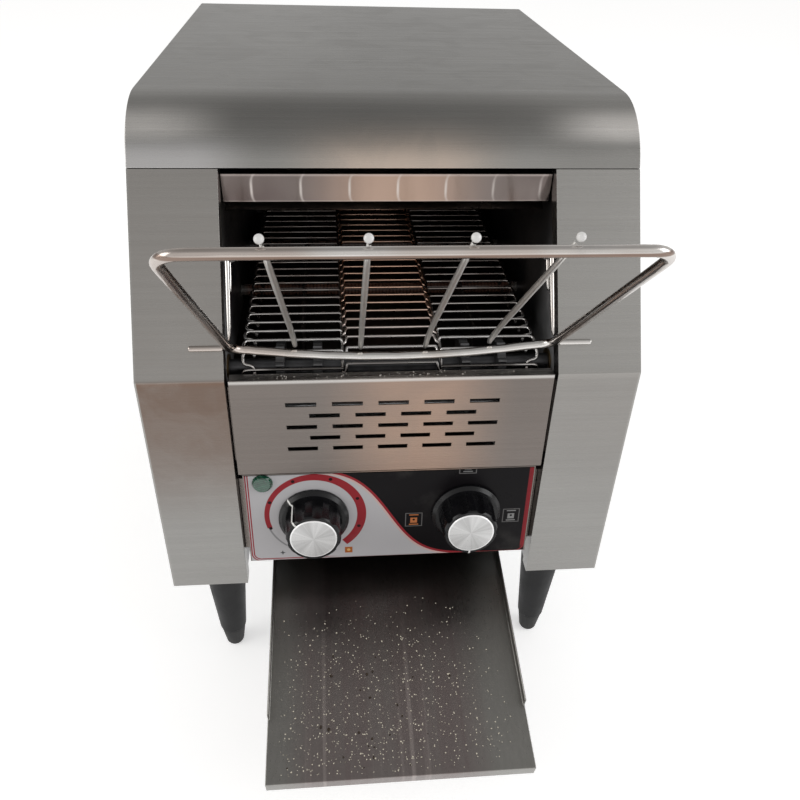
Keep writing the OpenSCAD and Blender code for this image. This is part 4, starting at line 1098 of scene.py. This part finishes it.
class TOASTER_OT_stage(Toaster, bpy.types.Operator):
    """Set the floor, the soft lamps, the surroundings and the camera"""
    bl_idname = "toaster.stage"
    bl_label = "Studio"
    across = (0.9962, -0.0818, 0.0285)
    ahead = (0.0832, 0.8116, -0.5783)
    camera_at = (-33.4, -422.3 + LIP_Y, 497.5)

    def lamp(self, name, at, power, tone):
        data = bpy.data.lights.new(name, "AREA")
        data.size = 1.4
        data.energy = power
        data.color = tone
        lamp = bpy.data.objects.new(name, data)
        lamp.location = at
        way = Vector((0, 0, 0.2)) - Vector(at)
        lamp.rotation_euler = way.to_track_quat("-Z", "Y").to_euler()
        bpy.context.scene.collection.objects.link(lamp)

    def execute(self, context):
        s = self.settings("toaster_studio")
        scene = bpy.context.scene
        scene.view_settings.view_transform = "Standard"
        # floor
        bm = bmesh.new()
        bmesh.ops.create_grid(bm, x_segments=1, y_segments=1, size=15.0)
        mesh = bpy.data.meshes.new("floor")
        bm.to_mesh(mesh)
        bm.free()
        floor = bpy.data.objects.new("floor", mesh)
        scene.collection.objects.link(floor)
        f = Finish("Studio floor")
        rays = node(f.tree, "ShaderNodeLightPath").outputs
        shown = (Reading(f.tree, rays["Is Camera Ray"]) + rays["Is Glossy Ray"]
                 + rays["Is Transmission Ray"]).low(1.0)
        matte = node(f.tree, "ShaderNodeBsdfDiffuse", {"Color": (*s.floor, 1)})
        glow = node(f.tree, "ShaderNodeEmission", {"Strength": shown * 0.48})
        both = node(f.tree, "ShaderNodeAddShader", {0: matte.outputs[0], 1: glow.outputs[0]})
        node(f.tree, "ShaderNodeOutputMaterial", {0: both.outputs[0]})
        mesh.materials.append(f.material)
        # surroundings: a pale room, lighter in front and dimmer overhead and behind
        world = bpy.data.worlds.new("Studio")
        world.use_nodes = True
        tree = world.node_tree
        tree.nodes.clear()
        way = node(tree, "ShaderNodeTexCoord").outputs["Generated"]
        x, y, z = [Reading(tree, p) for p in node(tree, "ShaderNodeSeparateXYZ", {0: way}).outputs]
        level = y.step(-0.7, 0.6, 0.80, 0.60) * z.step(0.5, 1.0, 1.0, 0.55)
        level = level * x.step(-0.6, 0.6, 0.92, 1.08)
        sky = node(tree, "ShaderNodeBackground", {"Color": (1, 0.99, 0.975, 1), "Strength": level})
        node(tree, "ShaderNodeOutputWorld", {0: sky.outputs[0]})
        scene.world = world
        # lamps
        self.lamp("left", (-2.0, -0.5, 1.2), s.key, (1, 0.985, 0.96))
        self.lamp("right", (2.0, -0.6, 1.2), s.fill, (0.98, 0.99, 1))
        # camera
        data = bpy.data.cameras.new("view")
        data.sensor_width = 36.0
        data.lens = s.lens
        data.shift_x, data.shift_y = 0.0005, 0.0011
        data.clip_start, data.clip_end = 0.01, 100.0
        camera = bpy.data.objects.new("view", data)
        right = Vector(self.across).normalized()
        ahead = Vector(self.ahead).normalized()
        up = right.cross(ahead).normalized()
        right = ahead.cross(up).normalized()
        turn = Matrix((right, up, -ahead)).transposed().to_4x4()
        camera.matrix_world = Matrix.Translation(Vector(self.camera_at) * MM) @ turn
        scene.collection.objects.link(camera)
        scene.camera = camera
        return {"FINISHED"}


STEPS = (TOASTER_OT_case, TOASTER_OT_header, TOASTER_OT_inside, TOASTER_OT_heaters,
         TOASTER_OT_belt, TOASTER_OT_rack, TOASTER_OT_overlay, TOASTER_OT_lamp,
         TOASTER_OT_knobs, TOASTER_OT_tray, TOASTER_OT_legs, TOASTER_OT_screws,
         TOASTER_OT_stage)


class TOASTER_PT_panel(bpy.types.Panel):
    """Lists the settings and the steps"""
    bl_idname = "TOASTER_PT_panel"
    bl_label = "Conveyor Toaster"
    bl_space_type = "VIEW_3D"
    bl_region_type = "UI"
    bl_category = "Toaster"

    def draw(self, context):
        for name, group in GROUPS.items():
            box = self.layout.box()
            for key in group.__annotations__:
                box.prop(getattr(context.scene, name), key)
        for step in STEPS:
            self.layout.operator(step.bl_idname)


def register():
    for name, group in GROUPS.items():
        bpy.utils.register_class(group)
        setattr(bpy.types.Scene, name, PointerProperty(type=group))
    for step in STEPS:
        bpy.utils.register_class(step)
    bpy.utils.register_class(TOASTER_PT_panel)


def unregister():
    bpy.utils.unregister_class(TOASTER_PT_panel)
    for step in reversed(STEPS):
        bpy.utils.unregister_class(step)
    for name, group in reversed(list(GROUPS.items())):
        delattr(bpy.types.Scene, name)
        bpy.utils.unregister_class(group)


def main():
    register()
    for step in STEPS:
        group, name = step.bl_idname.split(".")
        getattr(getattr(bpy.ops, group), name)()


if __name__ == "__main__":
    main()
